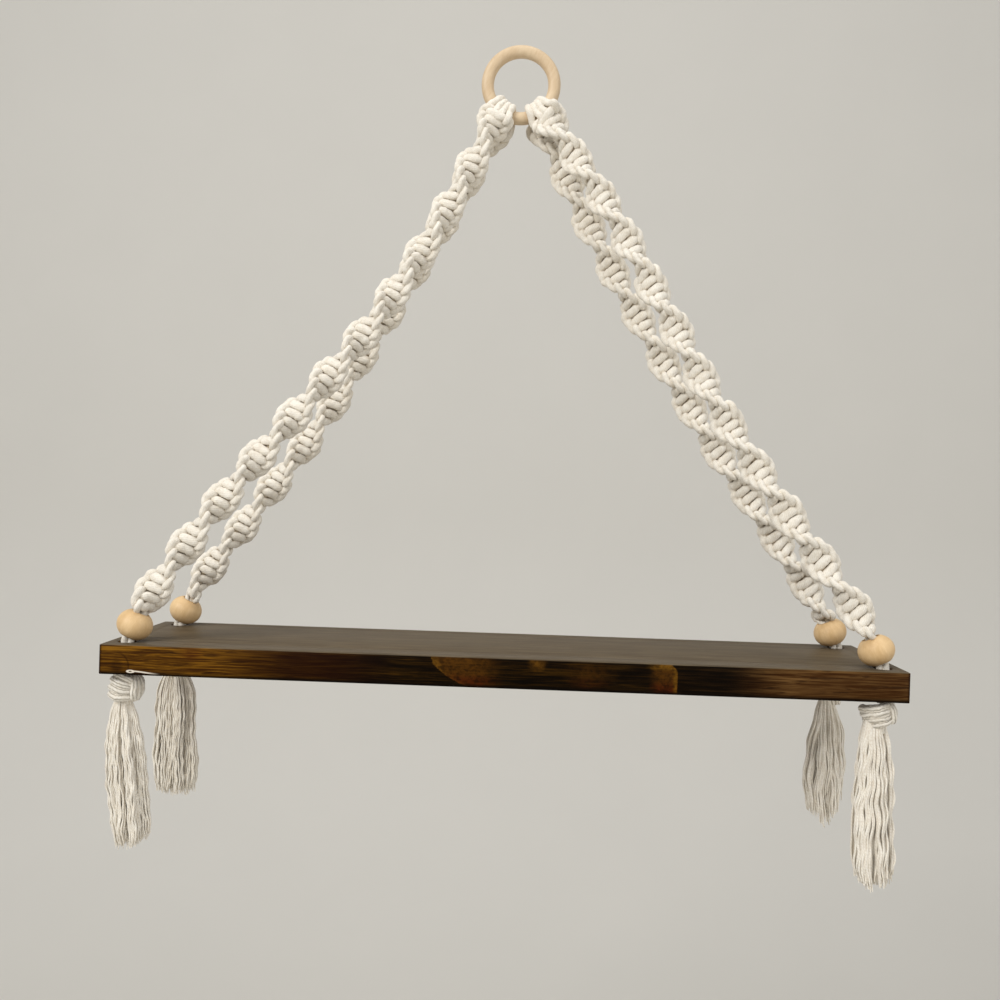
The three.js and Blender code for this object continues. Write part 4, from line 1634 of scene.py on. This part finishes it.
@dataclass
class Board:
    """The shelf board: a plank with softened edges and a hole for each leg."""

    holes: list[Points]
    hole_radius: float = 5.7
    hole_sides: int = 40
    drill_length: float = 90.0
    edge_round: float = 0.7
    edge_steps: int = 3
    sharp_angle: float = 40.0

    def build(self, finish: bpy.types.Material) -> bpy.types.Object:
        """The board, drilled and rounded over.

        Args:
            finish: the board's material.

        Returns:
            The board.
        """
        low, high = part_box("shelf_board")
        mesh = bpy.data.meshes.new("stained_board")
        work = bmesh.new()
        bmesh.ops.create_cube(work, size=1.0)
        bmesh.ops.scale(work, vec=high - low, verts=work.verts)
        bmesh.ops.translate(work, vec=(high + low) / 2, verts=work.verts)
        work.to_mesh(mesh)
        work.free()
        piece = linked("stained_board", mesh)
        drills = [self.drill(hole) for hole in self.holes]
        for drill in drills:
            cut = piece.modifiers.new("hole", "BOOLEAN")
            cut.object = drill
            cut.solver = "EXACT"
        soften = piece.modifiers.new("edges", "BEVEL")
        soften.width = self.edge_round * MM
        soften.segments = self.edge_steps
        soften.limit_method = "ANGLE"
        soften.angle_limit = math.radians(self.sharp_angle)
        evaluated = piece.evaluated_get(bpy.context.evaluated_depsgraph_get())
        finished = bpy.data.meshes.new_from_object(evaluated)
        finished.materials.clear()
        finished.materials.append(finish)
        finished.set_sharp_from_angle(angle=math.radians(self.sharp_angle))
        piece.modifiers.clear()
        piece.data = finished
        for drill in drills:
            bpy.data.objects.remove(drill)
        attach(piece, "hanger")
        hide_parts("shelf_board")
        return piece

    def drill(self, hole: Points) -> bpy.types.Object:
        """A rod where a hole goes, through the whole board.

        Args:
            hole: the hole's middle.

        Returns:
            The rod, which is removed after the cut.
        """
        mesh = bpy.data.meshes.new("drill")
        work = bmesh.new()
        place = Matrix.Translation(Vector(hole * MM))
        bmesh.ops.create_cone(
            work, cap_ends=True, segments=self.hole_sides, radius1=self.hole_radius * MM,
            radius2=self.hole_radius * MM, depth=self.drill_length * MM, matrix=place,
        )
        work.to_mesh(mesh)
        work.free()
        return linked("drill", mesh)


class Light(Enum):
    """The studio's lamps: place and aim in metres, size in metres, and power in watts."""

    KEY = ((-1.5, -1.7, 1.05), (0.0, 0.0, -0.3), 1.3, 44.0)
    FILL = ((1.9, -1.5, 0.1), (0.0, 0.0, -0.35), 2.2, 15.0)
    TOP = ((0.2, -0.5, 1.9), (0.0, -0.1, -0.3), 1.8, 16.0)

    def place(self) -> None:
        """Puts the lamp in the scene, turned towards its aim."""
        position, aim, size, power = self.value
        lamp = bpy.data.lights.new(self.name.lower(), "AREA")
        lamp.shape, lamp.size, lamp.energy = "DISK", size, power
        holder = linked(self.name.lower(), lamp)
        holder.location = position
        holder.rotation_euler = (Vector(aim) - Vector(position)).to_track_quat("-Z", "Y").to_euler()


@dataclass
class Studio:
    """A pale floor that curves up into a backdrop, soft lamps, and the photograph's viewpoint."""

    floor_z: float = -1.15
    backdrop_y: float = 1.6
    backdrop_height: float = 6.0
    half_width: float = 9.0
    front_y: float = -6.0
    curve_radius: float = 0.8
    curve_steps: int = 24
    sky: tuple = linear(232, 232, 232)
    sky_strength: float = 0.6
    camera_place: tuple[float, float, float] = (0.016, -0.721, -0.3132)
    camera_turn: tuple[float, float, float] = (-1.75, -0.35, 1.76)
    lens: float = 36.0
    sensor: float = 36.0
    nearest: float = 0.01

    def build(self, paper: bpy.types.Material) -> None:
        """The floor, the lamps, the sky and the camera.

        Args:
            paper: the floor's material.
        """
        y, z, radius = self.backdrop_y - self.curve_radius, self.floor_z, self.curve_radius
        profile = [(self.front_y, z)]
        profile += [
            (y + radius * math.sin(turn), z + radius * (1 - math.cos(turn)))
            for turn in np.linspace(0, math.pi / 2, self.curve_steps)
        ]
        profile.append((self.backdrop_y, z + self.backdrop_height))
        mesh = bpy.data.meshes.new("pale_floor")
        points = [(side * self.half_width, y, z) for side in (-1, 1) for y, z in profile]
        count = len(profile)
        faces = [(i, count + i, count + i + 1, i + 1) for i in range(count - 1)]
        mesh.from_pydata(points, [], faces)
        mesh.shade_smooth()
        mesh.materials.append(paper)
        linked("pale_floor", mesh)
        for light in Light:
            light.place()
        world = bpy.data.worlds.new("studio")
        world.use_nodes = True
        background = world.node_tree.nodes["Background"]
        background.inputs["Color"].default_value = self.sky
        background.inputs["Strength"].default_value = self.sky_strength
        bpy.context.scene.world = world
        bpy.context.scene.view_settings.view_transform = "Standard"
        self.camera()

    def camera(self) -> None:
        """The camera at the photograph's viewpoint."""
        yaw, pitch, roll = (math.radians(angle) for angle in self.camera_turn)
        flat = math.cos(pitch)
        ahead = Vector((math.sin(yaw) * flat, math.cos(yaw) * flat, math.sin(pitch)))
        level = Vector((math.cos(yaw), -math.sin(yaw), 0.0))
        upright = level.cross(ahead)
        right = level * math.cos(roll) + upright * math.sin(roll)
        up = upright * math.cos(roll) - level * math.sin(roll)
        lens = bpy.data.cameras.new("camera")
        lens.lens, lens.sensor_width, lens.clip_start = self.lens, self.sensor, self.nearest
        holder = linked("camera", lens)
        turn = Matrix((right, up, -ahead)).transposed().to_4x4()
        holder.matrix_world = Matrix.Translation(self.camera_place) @ turn
        bpy.context.scene.camera = holder


@dataclass
class HangingShelf:
    """The whole shelf: it shares out the sizes and finishes and builds each piece."""

    legs: dict[Corner, Leg]
    overhands: dict[Corner, OverhandKnot]
    tassels: list[Tassel]

    @classmethod
    def as_photographed(cls) -> "HangingShelf":
        """The shelf with each leg, knot and tassel as it hangs in the picture.

        Returns:
            The shelf.
        """
        legs = {
            Corner.FRONT_LEFT: (66, 106.0, (0.84, 1.06, 0.57, 0.0), 17.5),
            Corner.FRONT_RIGHT: (66, 78.0, (-0.2, 0.14, 0.45, 0.27), 21.0),
            Corner.REAR_LEFT: (62, 98.0, (0.42, 0.62, 0.8, 0.38)),
            Corner.REAR_RIGHT: (62, 106.0, (0.54, 0.7, 0.64, 0.2)),
        }
        overhands = {
            Corner.FRONT_LEFT: (-12.0, 1, 4.6), Corner.FRONT_RIGHT: (17.0, 1, 3.5, 0.16, -2.0),
            Corner.REAR_LEFT: (8.0, -1, 4.0), Corner.REAR_RIGHT: (6.0, 1, 4.0),
        }
        tassels = [
            Tassel(Corner.FRONT_LEFT, seed=3, neck=4.2, flare_rate=6.0, gathered=0.0, lean=8.3,
                   pointed=0.02, ragged=0.08, hem_slope=0.045, width_share=1.02, shift=-1.6),
            Tassel(Corner.FRONT_RIGHT, seed=11, neck=5.5, flare_rate=4.5, gathered=-0.15, lean=2.3,
                   pointed=0.02, ragged=0.08, rise=6.5, wave_length=22.0, wave_height=0.55,
                   sway=8.5, width_share=1.08, shift=-4.8, yarns=320, yarn_radius=0.8),
            Tassel(Corner.REAR_LEFT, seed=21, neck=9.0, flare_rate=7.0, gathered=-0.03, lean=1.5,
                   pointed=0.02, ragged=0.09, sway=9.0, width_share=1.06, shift=-1.5),
            Tassel(Corner.REAR_RIGHT, seed=31, neck=4.2, flare_rate=1.4, gathered=0.13, lean=1.2,
                   pointed=0.24, ragged=0.2, shift=-5.8, width_share=1.1, sway=11.0,
                   wave_length=24.0, wave_height=0.3, yarn_radius=0.66),
        ]
        return cls(
            {corner: Leg(corner, *sizes) for corner, sizes in legs.items()},
            {corner: OverhandKnot(corner, *sizes) for corner, sizes in overhands.items()},
            tassels,
        )

    def build(self) -> None:
        """Every piece of the shelf."""
        finishes = (
            PaleWood("pale_ring_wood", linear(220, 198, 165), linear(200, 173, 137)),
            PaleWood("pale_bead_wood", linear(226, 194, 147), linear(202, 166, 116)),
            StainedBoard("stained_wood"), Cotton("cotton_cord"),
            Cotton("cotton_yarn", yarns=2, lay=0.004, relief=0.0001),
        )
        ring_wood, bead_wood, board_wood, cord_cotton, yarn_cotton = (
            finish.material() for finish in finishes
        )
        ring = Ring()
        report(ring.build(ring_wood))
        report(Board([leg.hole for leg in self.legs.values()]).build(board_wood))
        for corner, leg in self.legs.items():
            report(Bead(corner, leg.axis, leg.bead_centre).build(bead_wood))
        knot = HalfKnot()
        cell = knot.tightened()
        tree = cord_tree()
        for side, front, rear in (
            (-1, Corner.FRONT_LEFT, Corner.REAR_LEFT), (1, Corner.FRONT_RIGHT, Corner.REAR_RIGHT)
        ):
            cords = Cords(side, ring, self.legs[front], self.legs[rear],
                          self.overhands[front], self.overhands[rear])
            cords.build(knot, cell, tree, cord_cotton)
        yarns = tassel_tree()
        for tassel in self.tassels:
            tassel.build(yarns, yarn_cotton)


def main() -> None:
    """Builds the shelf, its floor and its camera."""
    logging.basicConfig(level=logging.INFO, format="%(message)s")
    HangingShelf.as_photographed().build()
    Studio().build(Paper("pale_paper").material())


if __name__ == "__main__":
    main()
